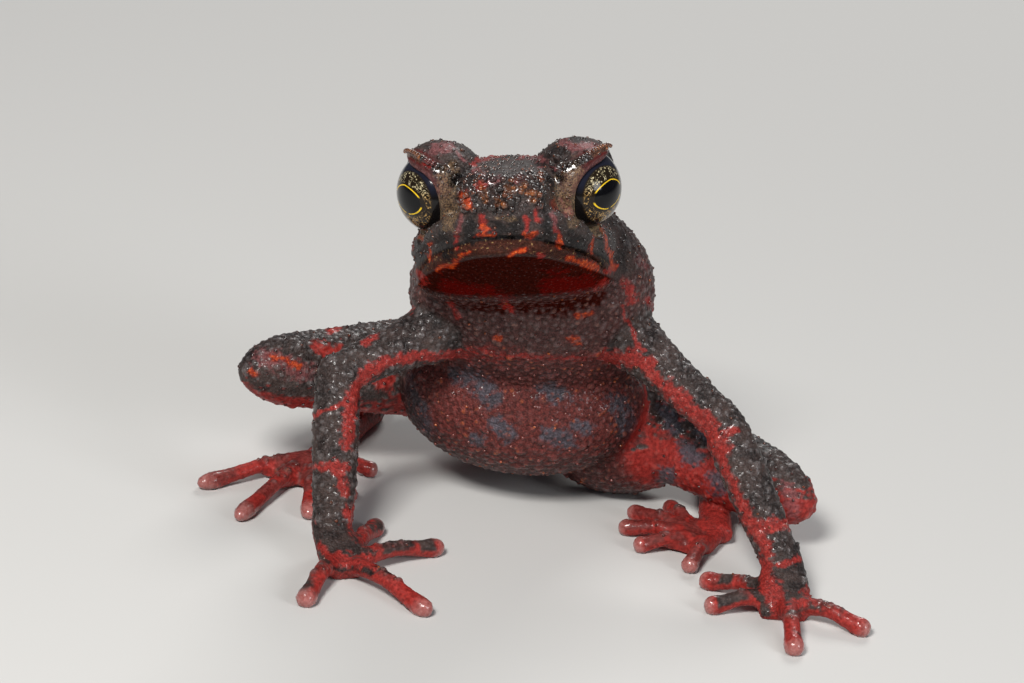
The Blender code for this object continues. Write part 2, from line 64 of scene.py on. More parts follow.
# Each station of a loft is x, y, z, half width, half height up, half height down.
TRUNK = [
    (-0.9, 4.4, 17.8, 4.0, 2.3, 2.9),
    (-0.5, 6.0, 16.4, 4.75, 2.8, 3.4),
    (0.2, 7.6, 14.5, 5.85, 3.5, 4.0),
    (0.7, 8.9, 12.6, 6.4, 4.0, 4.5),
    (0.9, 10.4, 10.3, 6.1, 4.5, 4.4),
    (1.0, 11.9, 8.1, 6.1, 4.6, 4.6),
    (1.1, 13.6, 6.3, 6.0, 4.4, 4.4),
    (1.2, 15.8, 5.0, 5.0, 3.8, 3.4),
    (1.3, 18.0, 3.9, 3.2, 2.8, 2.3),
    (1.3, 19.8, 2.8, 1.5, 1.3, 1.2),
]
BELLY_CENTRE = (0.9, 10.6, 5.8)
BELLY_RADII = (6.6, 4.2, 4.3)
CHEST_CENTRE = (0.5, 7.3, 12.1)
CHEST_RADII = (5.9, 3.1, 2.2)
HAM_CENTRE = (6.2, 11.8, 3.0)
HAM_RADII = (4.0, 2.6, 2.7)

# Lofts of the head in its own frame: the eyes lie on its x axis, and the snout points to -y.
SKULL = [
    (0, -6.05, -0.5, 0.9, 0.7, 0.7),
    (0, -5.75, -0.5, 1.75, 1.15, 1.2),
    (0, -4.8, -0.45, 2.15, 1.4, 1.5),
    (0, -3.0, -0.45, 2.35, 1.6, 1.9),
    (0, -0.6, -0.5, 2.9, 1.85, 2.4),
    (0, 2.0, -0.9, 4.2, 2.45, 2.9),
    (0, 4.4, -1.4, 4.9, 3.0, 3.4),
    (0, 6.4, -1.8, 4.6, 2.9, 3.2),
]
LIPS = [
    (0, -5.75, -1.5, 1.5, 0.6, 0.65),
    (0, -5.3, -1.55, 2.6, 0.9, 0.75),
    (0, -4.0, -1.85, 3.5, 1.1, 0.8),
    (0, -2.0, -2.4, 4.3, 1.4, 0.85),
    (0, 0.4, -2.9, 4.9, 1.7, 0.95),
    (0, 2.8, -3.2, 5.25, 2.0, 1.2),
    (0, 5.0, -3.0, 5.2, 2.3, 1.5),
]
JAW = [
    (0, -5.4, -2.6, 1.6, 0.5, 0.5),
    (0, -4.8, -2.7, 2.6, 0.6, 0.65),
    (0, -3.4, -2.9, 3.4, 0.8, 0.95),
    (0, -1.4, -3.5, 4.2, 1.0, 1.3),
    (0, 1.0, -4.0, 4.85, 1.4, 1.6),
    (0, 3.4, -4.2, 5.15, 2.0, 2.0),
    (0, 5.8, -4.3, 5.0, 2.4, 2.4),
]
LID_CENTRE = (3.42, 0.15, 0.14)
LID_RADII = (2.45, 2.8, 2.38)
EYE_YAW = math.radians(50)
EYE_DIP = math.radians(12)

# The mouth line, from the middle of the snout to its left corner: x, y, z
MOUTH_LINE = [
    (0.0, -6.1, -2.2),
    (1.6, -5.9, -2.32),
    (2.9, -4.9, -2.72),
    (3.9, -3.2, -3.08),
    (4.8, -0.8, -3.7),
    (5.4, 1.4, -4.6),
]
MOUTH_DEPTH = 0.85
MOUTH_GAPE = 0.26
NOSTRIL = (1.72, -5.35, 0.28)
NOSTRIL_RADII = (0.22, 0.3, 0.17)

# Joints of the limbs: "right" is the toad's own right, at -X.
JOINTS = {
    "right": {
        "shoulder": (-3.6, 7.0, 10.5),
        "elbow": (-8.7, 3.6, 8.7),
        "wrist": (-8.1, -0.1, 1.5),
        "palm": (-7.3, -1.6, 0.75),
        "hip": (-1.9, 15.0, 5.3),
        "knee": (-12.2, 9.0, 6.3),
        "heel": (-7.2, 18.2, 1.0),
        "ankle": (-9.4, 11.4, 0.7),
    },
    "left": {
        "shoulder": (5.4, 7.6, 11.3),
        "elbow": (11.3, 4.5, 7.8),
        "wrist": (15.0, 0.4, 2.0),
        "palm": (15.1, -1.1, 0.8),
        "hip": (4.3, 14.2, 4.9),
        "knee": (14.8, 7.5, 3.0),
        "heel": (11.6, 16.6, 1.0),
        "ankle": (11.7, 6.8, 0.7),
    },
}

# Where each digit leaves the palm or sole, and its tip, on the ground
FINGERS = {
    "right": [
        ((-6.9, -0.6), (-6.0, 3.4)),
        ((-6.2, -1.2), (-2.7, 1.6)),
        ((-6.5, -2.5), (-2.9, -5.8)),
        ((-8.0, -2.5), (-8.9, -6.2)),
    ],
    "left": [
        ((14.2, -0.3), (11.1, 1.0)),
        ((14.2, -1.3), (11.3, -2.0)),
        ((15.3, -2.2), (15.6, -5.9)),
        ((16.3, -1.6), (19.3, -2.8)),
    ],
}
TOES = {
    "right": [
        ((-8.9, 10.7), (-6.6, 10.4)),
        ((-9.4, 10.0), (-7.6, 6.8)),
        ((-9.9, 9.7), (-9.6, 4.2)),
        ((-10.4, 9.8), (-13.0, 3.2)),
        ((-10.7, 10.2), (-15.3, 6.6)),
    ],
    "left": [
        ((10.1, 7.4), (9.3, 9.8)),
        ((9.8, 6.7), (7.3, 8.6)),
        ((9.8, 5.9), (6.8, 6.5)),
        ((10.1, 5.2), (7.6, 4.4)),
        ((11.1, 4.9), (10.3, 2.4)),
    ],
}
FINGER_RADIUS = 0.5
FINGER_TIP_RADIUS = 0.57
FINGER_ARCH = 0.35
TOE_RADIUS = 0.46
TOE_TIP_RADIUS = 0.52
TOE_ARCH = 0.25
DIGIT_HEIGHT = 0.9
TIP_CENTRE_Z = 0.5
SOLE_CENTRE_Z = 0.58

# The webs between the toes: how far along they reach, how deep they are notched, and their faces
WEB_SHARE = 0.42
WEB_NOTCH = 0.72
WEB_LOW = 0.25
WEB_HIGH = 0.85

# The course of a digit: share of its length, shares of its own radius, its tip's and its arch
DIGIT = [
    (-0.12, 1.15, 0.0, 0.0),
    (0.1, 1.0, 0.0, 0.7),
    (0.4, 0.9, 0.0, 1.0),
    (0.75, 0.95, 0.0, 0.25),
    (0.92, 0.0, 1.0, 0.0),
    (1.03, 0.0, 0.8, 0.0),
    (1.08, 0.0, 0.35, 0.0),
]

# The shape of each limb segment: share of the way, half width and half height
UPPER_ARM = [
    (-0.1, 1.2, 1.2),
    (0.1, 1.6, 1.6),
    (0.4, 1.3, 1.25),
    (0.8, 1.15, 1.1),
    (1.02, 1.05, 1.0),
    (1.14, 0.55, 0.5),
]
FOREARM = [
    (-0.12, 0.6, 0.6),
    (-0.03, 1.05, 1.0),
    (0.25, 1.2, 1.15),
    (0.6, 1.15, 1.05),
    (0.88, 1.05, 0.9),
    (1.05, 1.0, 0.7),
]
PALM = [(-0.5, 0.9, 0.7), (0.3, 1.25, 0.75), (1.0, 1.45, 0.72), (1.6, 1.15, 0.5)]
THIGH = [
    (-0.05, 1.8, 2.2),
    (0.12, 2.2, 2.8),
    (0.4, 2.0, 2.6),
    (0.75, 1.8, 2.15),
    (0.97, 1.7, 1.9),
    (1.1, 1.2, 1.3),
    (1.17, 0.5, 0.5),
]
SHANK = [
    (-0.1, 0.8, 0.8),
    (0.0, 1.4, 1.4),
    (0.3, 1.35, 1.3),
    (0.6, 1.15, 1.05),
    (0.9, 0.95, 0.9),
    (1.05, 0.6, 0.6),
]
TARSUS = [
    (-0.05, 0.5, 0.5),
    (0.05, 0.85, 0.85),
    (0.4, 0.8, 0.75),
    (0.85, 0.9, 0.7),
    (1.05, 0.95, 0.65),
]
SOLE = [(-0.3, 0.6, 0.55), (0.5, 0.62, 0.5), (1.1, 0.55, 0.45)]

# The skin's grain: the voxel of its first and its last remesh, and how often each is smoothed
FORM_VOXEL = 0.13
FORM_PASSES = 8
SKIN_VOXEL = 0.08
SKIN_PASSES = 2

# The skin that bridges the step from the back of the head to the back
NAPE_CENTRE = (-0.3, 9.45, 16.1)
NAPE_RADII = (3.9, 3.6, 1.45)
NAPE_TURN = math.radians(-57)
BODY_LEAN = math.radians(-20)

# The first seed of each row of random draws
HEAD_SEED = 11
WART_SEED, WART_PLACE_SEED = 40, 50
RIDGE_SEED = 78
BEAD_SEED, BEAD_PLACE_SEED = 80, 90

# The beaded ridge along the upper lid, in the eye's frame with x towards the outer corner
LID_RIDGE = [
    (0.85, 2.16, 0.86),
    (0.62, 2.23, 0.95),
    (0.3, 2.27, 1.06),
    (-0.3, 2.23, 1.23),
    (-0.85, 2.1, 1.33),
    (-1.3, 1.85, 1.32),
    (-1.75, 1.55, 1.15),
    (-2.2, 1.15, 0.75),
    (-2.42, 0.7, 0.62),
]
RIDGE_RADIUS = 0.13
FLAP_SHARES = (0.35, 0.7)
RIDGE_BEAD_LIFT = 1.055
RIDGE_BEADS = {"outer": (0.0, 0.56, 12, 0.105, 0.13), "inner": (0.58, 1.0, 9, 0.12, 0.2)}

# The rim of skin round the eye, as the angle about the sight line and the angle from it, in degrees
EYE_RIM = [
    (0, 87),
    (30, 86),
    (45, 85),
    (60, 76),
    (72, 64),
    (85, 54),
    (105, 48),
    (130, 49),
    (160, 52),
    (190, 53),
    (220, 55),
    (250, 57),
    (280, 62),
    (310, 72),
    (335, 82),
    (360, 87),
]
EYE_RIM_RADIUS = 0.1
EYE_RIM_BACK = 2.6
EYE_RIM_LIFT = 0.04
EYE_RIM_STEPS = 61
FLAP_LIFT = 0.1
SOCKET_PLAY = 0.02

# The funnel that opens the lids: distance from the eye's centre, and degrees outside the rim
FUNNEL = [(1.4, 0), (2.3, 0), (2.6, 5), (3.3, 14)]
FUNNEL_FRONT = 5.0
FUNNEL_SIDES = 72
FUNNEL_TUCK = 0.6
WIDEST = 88

# Wet warts that crowd the tip of the snout, and others that stand out on the face: x, y, z, radius
SNOUT_WARTS = 46
SNOUT_WART_RADII = (0.15, 0.34)
SNOUT_PATCH = ((-1.8, 1.4), (-0.8, 0.75))
BEFORE_SNOUT = -12
FACE_WARTS = [
    (-2.35, -4.7, 0.0, 0.3),
    (-0.75, -3.6, 1.08, 0.17),
    (0.9, -4.3, 0.95, 0.15),
    (-2.75, -3.2, 0.9, 0.24),
    (-2.4, -2.7, 1.05, 0.2),
    (-2.6, -2.2, 1.45, 0.22),
    (2.6, -3.3, 0.95, 0.24),
    (2.3, -2.7, 1.15, 0.2),
    (2.5, -2.2, 1.5, 0.22),
    (1.75, -5.0, -0.1, 0.26),
    (-1.6, -4.9, 0.72, 0.16),
    (1.5, -4.8, 0.75, 0.16),
]

# Beads that crowd the tip of the snout: least distance between two, and radii
SNOUT_BEADS = (0.36, 0.13, 0.27)

# Markings that the picture shows, by kind and part of the body: both ends of each and its half
# width, in the picture's pixels
VIEW_MARKS = {
    ("orange", "head"): [
        (464, 196, 465, 203, 4.5), (483, 226, 485, 232, 3.2), (478, 234, 493, 235, 2.8),
        (524, 234, 534, 234, 2.6), (558, 237, 559, 244, 3.2), (592, 239, 591, 254, 2.1),
        (601, 228, 608, 247, 1.7), (608, 247, 615, 269, 2.0), (430, 245, 431, 260, 2.4),
        (437, 271, 456, 262, 2.6), (460, 257, 471, 252, 1.9), (510, 255, 524, 251, 3.0),
        (568, 257, 596, 268, 3.0),
    ],
    ("red", "head"): [
        (479, 189, 484, 184, 2.6), (424, 163, 430, 165, 2.4), (474, 163, 482, 158, 3.2),
        (486, 158, 504, 155, 2.0), (520, 156, 532, 156, 1.6), (553, 203, 556, 209, 2.4),
        (537, 212, 538, 219, 3.2), (482, 216, 483, 226, 2.4), (457, 236, 457, 248, 2.2),
        (527, 218, 526, 230, 2.4), (556, 226, 558, 236, 2.2), (417, 272, 425, 284, 2.4),
        (411, 229, 413, 248, 1.7), (419, 232, 421, 240, 1.8), (539, 256, 542, 256, 2.2),
        (608, 272, 614, 267, 3.0), (596, 290, 606, 282, 3.0),
    ],
    ("pink", "head"): [
        (490, 182, 499, 178, 2.0), (482, 175, 484, 176, 2.6), (473, 171, 478, 170, 2.0),
        (436, 150, 448, 146, 4.5), (457, 151, 466, 160, 1.8), (570, 146, 592, 146, 4.0),
        (562, 143, 568, 141, 2.2), (530, 156, 543, 160, 2.6), (538, 168, 541, 169, 1.8),
        (549, 167, 552, 167, 1.8), (519, 176, 520, 178, 3.2), (564, 203, 569, 213, 3.6),
        (552, 213, 557, 226, 2.2), (461, 216, 456, 231, 2.8),
    ],
    ("black", "head"): [
        (498, 228, 516, 228, 6.5), (470, 221, 471, 239, 4.0), (547, 221, 547, 241, 4.0),
        (443, 235, 448, 252, 5.0), (573, 236, 582, 248, 5.0), (418, 244, 421, 262, 4.0),
        (600, 240, 604, 262, 3.0), (451, 182, 457, 189, 2.5), (545, 176, 556, 186, 3.0),
    ],
    ("gold", "head"): [
        (452, 165, 457, 172, 4.0), (445, 180, 450, 212, 8.0), (573, 172, 562, 200, 8.0),
        (448, 214, 447, 226, 5.0), (572, 205, 574, 224, 4.0), (496, 218, 514, 218, 2.0),
    ],
    ("wet", "head"): [
        (486, 190, 530, 190, 15.0), (448, 172, 462, 180, 5.0), (552, 172, 562, 166, 5.0),
    ],
    # On the snout the amber is partly the warts' brown and partly a painted orange highlight
    ("amber", "head"): [
        (482, 188, 486, 198, 3.5), (496, 200, 506, 206, 3.5), (524, 186, 534, 198, 4.0),
        (508, 186, 512, 190, 4.0),
    ],
    ("deep", "head"): [
        (552, 284, 588, 286, 9.5), (446, 286, 486, 291, 6.0), (499, 299, 512, 304, 5.0),
    ],
    # The throat's dark red carried on to the top of the chest: a painted shadow under the jaw
    ("throat", "torso"): [
        (450, 297, 596, 298, 7.5), (480, 302, 570, 302, 9.0),
    ],
    ("red", "torso"): [
        (449, 303, 460, 318, 2.4), (457, 339, 472, 350, 3.6), (503, 302, 511, 310, 3.0),
        (624, 280, 632, 298, 5.0), (648, 300, 655, 312, 3.2), (411, 318, 418, 314, 2.2),
    ],
    ("orange", "torso"): [
        (497, 336, 502, 338, 2.6), (578, 316, 592, 312, 2.4), (571, 338, 577, 341, 4.0),
    ],
    ("red", "body"): [
        (605, 356, 650, 364, 5.5), (470, 352, 502, 357, 4.0), (502, 357, 605, 358, 2.2),
        (380, 362, 430, 357, 4.0), (430, 357, 472, 353, 4.0), (622, 306, 642, 350, 1.8),
        (404, 302, 408, 308, 4.0),
    ],
    ("pink", "torso"): [
        (638, 258, 644, 266, 3.2),
    ],
    ("grey", "torso"): [
        (470, 376, 492, 398, 9.0), (548, 386, 560, 396, 8.0), (548, 436, 567, 440, 7.0),
        (496, 424, 509, 434, 7.0), (476, 438, 479, 440, 5.0), (618, 402, 632, 432, 9.0),
        (408, 380, 424, 432, 8.0), (578, 426, 588, 430, 5.5), (455, 372, 460, 380, 5.0),
    ],
    ("red", "arm"): [
        (632, 356, 669, 387, 6.0), (669, 387, 696, 416, 7.0), (696, 416, 719, 447, 9.0),
        (719, 447, 736, 493, 4.0), (736, 493, 757, 531, 5.0), (757, 528, 786, 523, 6.5),
        (759, 531, 769, 566, 6.0), (716, 434, 736, 430, 3.5), (398, 360, 369, 370, 5.0),
        (369, 370, 352, 393, 6.0), (352, 393, 347, 443, 5.0), (315, 414, 352, 402, 2.4),
        (311, 466, 346, 466, 3.4), (336, 464, 346, 493, 4.5), (307, 518, 315, 531, 3.2),
        (327, 531, 340, 533, 2.6), (366, 342, 372, 336, 4.0),
    ],
    ("red", "hand"): [
        (348, 512, 373, 543, 7.0), (358, 522, 372, 500, 9.0), (334, 560, 375, 561, 5.5),
        (320, 545, 330, 560, 3.0), (762, 566, 780, 612, 7.5), (780, 566, 800, 558, 3.0),
        (808, 594, 828, 604, 6.0), (790, 606, 804, 604, 5.0),
    ],
    ("red", "leg"): [
        (244, 398, 311, 414, 6.0), (350, 424, 425, 446, 15.0), (316, 347, 336, 350, 5.5),
        (378, 378, 388, 384, 7.0), (330, 330, 338, 328, 3.0), (330, 370, 342, 374, 3.2),
    ],
    ("pink", "leg"): [
        (262, 356, 306, 372, 8.0), (788, 488, 796, 512, 6.0),
    ],
    ("orange", "leg"): [
        (250, 370, 254, 374, 3.2), (272, 357, 300, 366, 3.6),
    ],
    ("grey", "leg"): [
        (664, 412, 674, 424, 7.0), (686, 447, 694, 460, 8.0), (664, 474, 667, 478, 7.5),
        (716, 478, 722, 486, 9.5), (700, 430, 706, 436, 5.0),
    ],
}

# The attributes that carry the markings: red, green, blue and alpha of each
CHANNELS = {
    "marks": ("red", "grey", "black", "pale"),
    "spots": ("orange", "gold", "pink", "deep"),
    "zones": ("belly", "throat", "lip", "shade"),
    "forms": ("tip", "wet", "bead", "grain"),
    "round_eye": ("amber", "edge"),
}
KINDS = [kind for kinds in CHANNELS.values() for kind in kinds]

# Warts of the whole skin: least distance between two, radii and height
WARTS = {
    "large": (1.1, 0.22, 0.32, 0.12),
    "medium": (0.4, 0.15, 0.2, 0.065),
    "fine": (0.24, 0.09, 0.12, 0.025),
}

# Beads that stand on the skin of the head and of the body: least distance between two, and radii
HEAD_BEADS = (0.55, 0.06, 0.11)
BODY_BEADS = (0.85, 0.08, 0.12)
BEAD_LIFT = -0.1

# The most places that are tried for warts or beads of one size
MOST_PLACES = 60000

# How the marks' edges fade, in shares of their half width, and how far they stray, in pixels
MARK_EDGE = (1.65, 0.65)
MARK_WARP = 3.4

# The number of cells after which the noise repeats
NOISE_SIDE = 32

# Markings of two mingled colours, in the order they are laid on: kind, strength, dark, light
SKIN_LAYERS = [
    ("belly", 1.0, (0.06, 0.011, 0.009), (0.2, 0.04, 0.034)),
    # The throat's dark red is partly its own colour and partly painted shade
    ("throat", 1.0, (0.028, 0.004, 0.002), (0.06, 0.009, 0.006)),
    ("lip", 0.95, (0.03, 0.008, 0.004), (0.08, 0.022, 0.013)),
    ("red", 0.94, (0.19, 0.012, 0.009), (0.43, 0.036, 0.028)),
    ("grey", 0.9, (0.035, 0.033, 0.042), (0.115, 0.11, 0.135)),
    # Deep red patches, and the painted shadow under each lid's ridge
    ("deep", 0.9, (0.09, 0.003, 0.002), (0.15, 0.006, 0.004)),
    # Painted shade on the belly
    ("shade", 0.75, (0.02, 0.007, 0.006), (0.04, 0.012, 0.01)),
    ("black", 0.92, (0.005, 0.004, 0.004), (0.014, 0.011, 0.011)),
    ("pink", 0.75, (0.13, 0.03, 0.033), (0.33, 0.11, 0.11)),
]

# The pupil, in angles on the eyeball about the sight line, and the gap in the gold line below it
PUPIL_CENTRE = (math.radians(0), math.radians(2.5))
PUPIL_HALF = (math.radians(26.5), math.radians(19.5))
PUPIL_SLOPE = 0.2
PUPIL_NOTCH = math.radians(4)
EYE_SEGMENTS = 96

# The camera: what it looks at, in the part's own millimetres, its distance, pitch, roll and scale
CAMERA_TARGET = Vector((0.0, 0.0, 12.96))
CAMERA_DISTANCE = 200.0
CAMERA_PITCH = math.radians(22)
CAMERA_ROLL = math.radians(6)
PIXEL = 0.05
FRAME_SIZE = (1024, 683)
SENSOR = 36.0


def make_object(name, bm):
    mesh = bpy.data.meshes.new(name)
    bm.to_mesh(mesh)
    bm.free()
    obj = bpy.data.objects.new(name, mesh)
    bpy.context.scene.collection.objects.link(obj)
    return obj


def append(bm, part):
    """Moves the faces of part into bm."""
    mesh = bpy.data.meshes.new("part")
    part.to_mesh(mesh)
    part.free()
    bm.from_mesh(mesh)
    bpy.data.meshes.remove(mesh)


def spline(rows, steps):
    """Catmull-Rom curve through the rows, with this many steps between neighbours."""
    rows = [np.array(row, float) for row in rows]
    rows = [2 * rows[0] - rows[1], *rows, 2 * rows[-1] - rows[-2]]
    found = []
    for a, b, c, d in zip(rows, rows[1:], rows[2:], rows[3:]):
        for k in range(steps):
            t = k / steps
            bend = 2 * b + (c - a) * t + (2 * a - 5 * b + 4 * c - d) * t**2
            found.append((bend + (3 * b - a - 3 * c + d) * t**3) / 2)
    found.append(rows[-2])
    return found


def bridge(bm, rings):
    """Skins a row of vertex rings, and closes both ends."""
    for first, second in zip(rings, rings[1:]):
        for k in range(len(first)):
            n = (k + 1) % len(first)
            bm.faces.new((first[k], first[n], second[n], second[k]))
    bm.faces.new(rings[0][::-1])
    bm.faces.new(rings[-1])


def loft(bm, stations, up, steps=4, sides=20, power=2.0):
    """Adds a closed tube through the stations, whose cross-sections are superellipses."""
    rows = spline(stations, steps)
    rings = []
    for i, row in enumerate(rows):
        before, after = rows[max(i - 1, 0)], rows[min(i + 1, len(rows) - 1)]
        along = Vector(after[:3] - before[:3]).normalized()
        side = along.cross(up).normalized()
        rise = side.cross(along)
        width, high, low = np.maximum(row[3:6], LEAST_RADIUS)
        ring = []
        for k in range(sides):
            c, s = math.cos(2 * math.pi * k / sides), math.sin(2 * math.pi * k / sides)
            out = math.copysign(abs(c) ** (2 / power), c) * width
            lift = math.copysign(abs(s) ** (2 / power), s) * (high if s > 0 else low)
            ring.append(bm.verts.new(Vector(row[:3]) + side * out + rise * lift))
        rings.append(ring)
    bridge(bm, rings)


def ellipsoid(bm, centre, radii, turn=None, level=4):
    matrix = Matrix.Translation(centre) @ (turn or Matrix.Identity(4))
    matrix = matrix @ Matrix.Diagonal((*radii, 1.0))
    bmesh.ops.create_icosphere(bm, subdivisions=level, radius=1.0, matrix=matrix)


def head_frame():
    """The head's own frame: x to its left, -y forward and z up, with the eyes on the x axis."""
    turn = Matrix.Rotation(-HEAD_ROLL, 4, "Y") @ Matrix.Rotation(-HEAD_PITCH, 4, "X")
    return Matrix.Translation(HEAD_CENTRE) @ turn


def eye_frame(side):
    """An eye's frame: its sight line points to +z."""
    out = Matrix.Rotation(side * EYE_YAW, 4, "Z") @ Matrix.Rotation(math.pi / 2 + EYE_DIP, 4, "X")
    return head_frame() @ Matrix.Translation((side * EYE_SPREAD, 0, -EYE_DROP)) @ out


def between(a, b, t, lift=0.0):
    """The point a share t of the way from a to b, raised by lift."""
    return Vector(a).lerp(Vector(b), t) + Vector((0, 0, lift))


def segment(bm, a, b, shape, up=Vector((0, 0.3, 1))):
    """One segment of a limb, between two of its joints."""
    stations = [(*between(a, b, t), w, h, h) for t, w, h in shape]
    loft(bm, stations, up, sides=18)


def digit(bm, base, tip, radius, tip_radius, arch):
    """A finger or toe that arches over its knuckles down to a swollen tip on the ground."""
    start, end = (*base, radius + 0.2), (*tip, TIP_CENTRE_Z)
    stations = []
    for t, own, swollen, rise in DIGIT:
        r = radius * own + tip_radius * swollen
        stations.append((*between(start, end, t, arch * rise), r, r, r * DIGIT_HEIGHT))
    loft(bm, stations, Vector((0, 0, 1)), steps=3, sides=12)


def web(bm, toe_a, toe_b):
    """A thin flap of skin that joins the roots of two neighbouring toes."""
    (base_a, tip_a), (base_b, tip_b) = [[Vector(p) for p in toe] for toe in (toe_a, toe_b)]
    a, b = base_a.lerp(tip_a, WEB_SHARE), base_b.lerp(tip_b, WEB_SHARE)
    notch = ((base_a + base_b) / 2).lerp((a + b) / 2, WEB_NOTCH)
    outline = [base_a, a, notch, b, base_b]
    below = [bm.verts.new((*p, WEB_LOW)) for p in outline]
    above = [bm.verts.new((*p, WEB_HIGH)) for p in outline]
    faces = [bm.faces.new(below), bm.faces.new(above)]
    for k in range(len(outline)):
        n = (k + 1) % len(outline)
        faces.append(bm.faces.new((below[k], below[n], above[n], above[k])))
    bmesh.ops.recalc_face_normals(bm, faces=faces)


def build_head(bm):
    """The skull, the upper lip, the lower jaw and the lids, lofted along the head's own axis."""
    part = bmesh.new()
    up = Vector((0, 0, 1))
    loft(part, SKULL, up, power=2.5)
    loft(part, LIPS, up, power=2.3)
    loft(part, JAW, up, power=2.2)
    x, y, z = LID_CENTRE
    for side in (-1, 1):
        ellipsoid(part, (side * x, y, z), LID_RADII)
    part.transform(head_frame())
    append(bm, part)


def build_limbs(bm):
    for side, joints in JOINTS.items():
        segment(bm, joints["shoulder"], joints["elbow"], UPPER_ARM)
        segment(bm, joints["elbow"], joints["wrist"], FOREARM, Vector((0, -1, 0.2)))
        segment(bm, joints["wrist"], joints["palm"], PALM)
        segment(bm, joints["hip"], joints["knee"], THIGH)
        segment(bm, joints["knee"], joints["heel"], SHANK)
        segment(bm, joints["heel"], joints["ankle"], TARSUS)
        for base, tip in FINGERS[side]:
            digit(bm, base, tip, FINGER_RADIUS, FINGER_TIP_RADIUS, FINGER_ARCH)
        for base, tip in TOES[side]:
            segment(bm, joints["ankle"], (*base, SOLE_CENTRE_Z), SOLE)
            digit(bm, base, tip, TOE_RADIUS, TOE_TIP_RADIUS, TOE_ARCH)
        for toe_a, toe_b in zip(TOES[side], TOES[side][1:]):
            web(bm, toe_a, toe_b)


def apply_modifiers(obj):
    graph = bpy.context.evaluated_depsgraph_get()
    mesh = bpy.data.meshes.new_from_object(obj.evaluated_get(graph))
    obj.modifiers.clear()
    obj.data = mesh


def mouth_blade(cutters):
    """A thin sheet that follows the mouth line and cuts the lips apart."""
    half = spline(MOUTH_LINE, 6)
    line = [Vector((-p[0], p[1], p[2])) for p in half[:0:-1]] + [Vector(p) for p in half]
    bm = bmesh.new()
    rings = []
    for i, p in enumerate(line):
        along = line[min(i + 1, len(line) - 1)] - line[max(i - 1, 0)]
        inward = Vector((0, 0, 1)).cross(along).normalized()
        outer, inner = p - inward * MOUTH_DEPTH, p + inward * MOUTH_DEPTH
        lift = Vector((0, 0, MOUTH_GAPE / 2))
        ring = [outer + lift, inner + lift * 0.6, inner - lift * 0.6, outer - lift]
        rings.append([bm.verts.new(q) for q in ring])
    bridge(bm, rings)
    bmesh.ops.recalc_face_normals(bm, faces=bm.faces)
    bm.transform(head_frame())
    cutters.append(make_object("blade", bm))


def step(low, high, value):
    """A smooth rise from 0 at low to 1 at high, or a fall where low is the greater."""
    t = np.clip((value - low) / (high - low), 0, 1)
    return t * t * (3 - 2 * t)


def noise(points, size, seed):
    """Smooth noise from -1 to 1 at the points, with this size of grain."""
    side = NOISE_SIDE
    table = np.random.default_rng(seed).random((side, side, side)) * 2 - 1
    scaled = points / size
    cell = np.floor(scaled).astype(int)
    f = scaled - cell
    f = f * f * (3 - 2 * f)
    total = np.zeros(len(points))
    for dx in (0, 1):
        for dy in (0, 1):
            for dz in (0, 1):
                weight = np.abs(1 - dx - f[:, 0]) * np.abs(1 - dy - f[:, 1])
                weight *= np.abs(1 - dz - f[:, 2])
                corner = (cell + (dx, dy, dz)) % side
                total += weight * table[corner[:, 0], corner[:, 1], corner[:, 2]]
    return total


def layered(points, size, seed):
    """Noise with a coarse, a middling and a fine grain."""
    found = noise(points, size, seed) + 0.5 * noise(points, size / 2.1, seed + 1)
    return (found + 0.25 * noise(points, size / 4.3, seed + 2)) / 1.3


def tube(bm, points, radius):
    """A round tube through the points."""
    loft(bm, [(*p, radius, radius, radius) for p in points], Vector((0, 0, 1)), 1, 10)


def wart(bm, x, y, z, radius):
    ellipsoid(bm, (x, y, z), (radius, radius, radius * 0.9), level=2)


def on_sphere(radius, turn, away):
    """A point at this distance from the eye's centre, from its angles in degrees."""
    turn, away = math.radians(turn), math.radians(away)
    flat = radius * math.sin(away)
    return Vector((flat * math.cos(turn), flat * math.sin(turn), radius * math.cos(away)))


def lid_ridge(side):
    """Points along the ridge of the upper lid, in the eye's frame."""
    return [Vector((side * p[0], p[1], p[2])) for p in spline(LID_RIDGE, 6)]


def rim_point(side, turn, radius, flare):
    """A point outside the rim of the eye by this many degrees."""
    rows = np.array(spline(EYE_RIM, 4))
    away = min(np.interp(turn % 360, rows[:, 0], rows[:, 1]) + flare, WIDEST)
    p = on_sphere(radius, turn, away)
    return Vector((side * p.x, p.y, p.z))


def add_head_details(bm):
    """The lids' ridges, the rims round the eyes and the crowded warts of the snout."""
    rng = np.random.default_rng(HEAD_SEED)
    part = bmesh.new()
    for side in (-1, 1):
        lids = bmesh.new()
        points = lid_ridge(side)
        tube(lids, points, RIDGE_RADIUS)
        foot = []
        for p in points:
            turn = math.degrees(math.atan2(p.y, side * p.x))
            foot.append(rim_point(side, turn, EYE_RADIUS + FLAP_LIFT, EYE_RIM_BACK + 1))
        for share in FLAP_SHARES:
            tube(lids, [p.lerp(q, share) for p, q in zip(points, foot)], RIDGE_RADIUS)
        turns = np.linspace(0, 360, EYE_RIM_STEPS)
        reach = EYE_RADIUS + EYE_RIM_LIFT
        rim = [rim_point(side, turn, reach, EYE_RIM_BACK) for turn in turns]
        tube(lids, rim, EYE_RIM_RADIUS)
        lids.transform(head_frame().inverted() @ eye_frame(side))
        append(part, lids)
    tree = BVHTree.FromBMesh(bm)
    own = head_frame()
    for _ in range(SNOUT_WARTS):
        x, z = [rng.uniform(*reach) for reach in SNOUT_PATCH]
        radius = rng.uniform(*SNOUT_WART_RADII)
        start = own @ Vector((x, BEFORE_SNOUT, z))
        hit = tree.ray_cast(start, own.to_3x3() @ Vector((0, 1, 0)))[0]
        wart(part, *(own.inverted() @ hit), radius)
    for row in FACE_WARTS:
        wart(part, *row)
    part.transform(head_frame())
    append(bm, part)


def modify(obj, kind, **values):
    """Adds a modifier with these values."""
    modifier = obj.modifiers.new(kind.lower(), kind)
    for name, value in values.items():
        setattr(modifier, name, value)


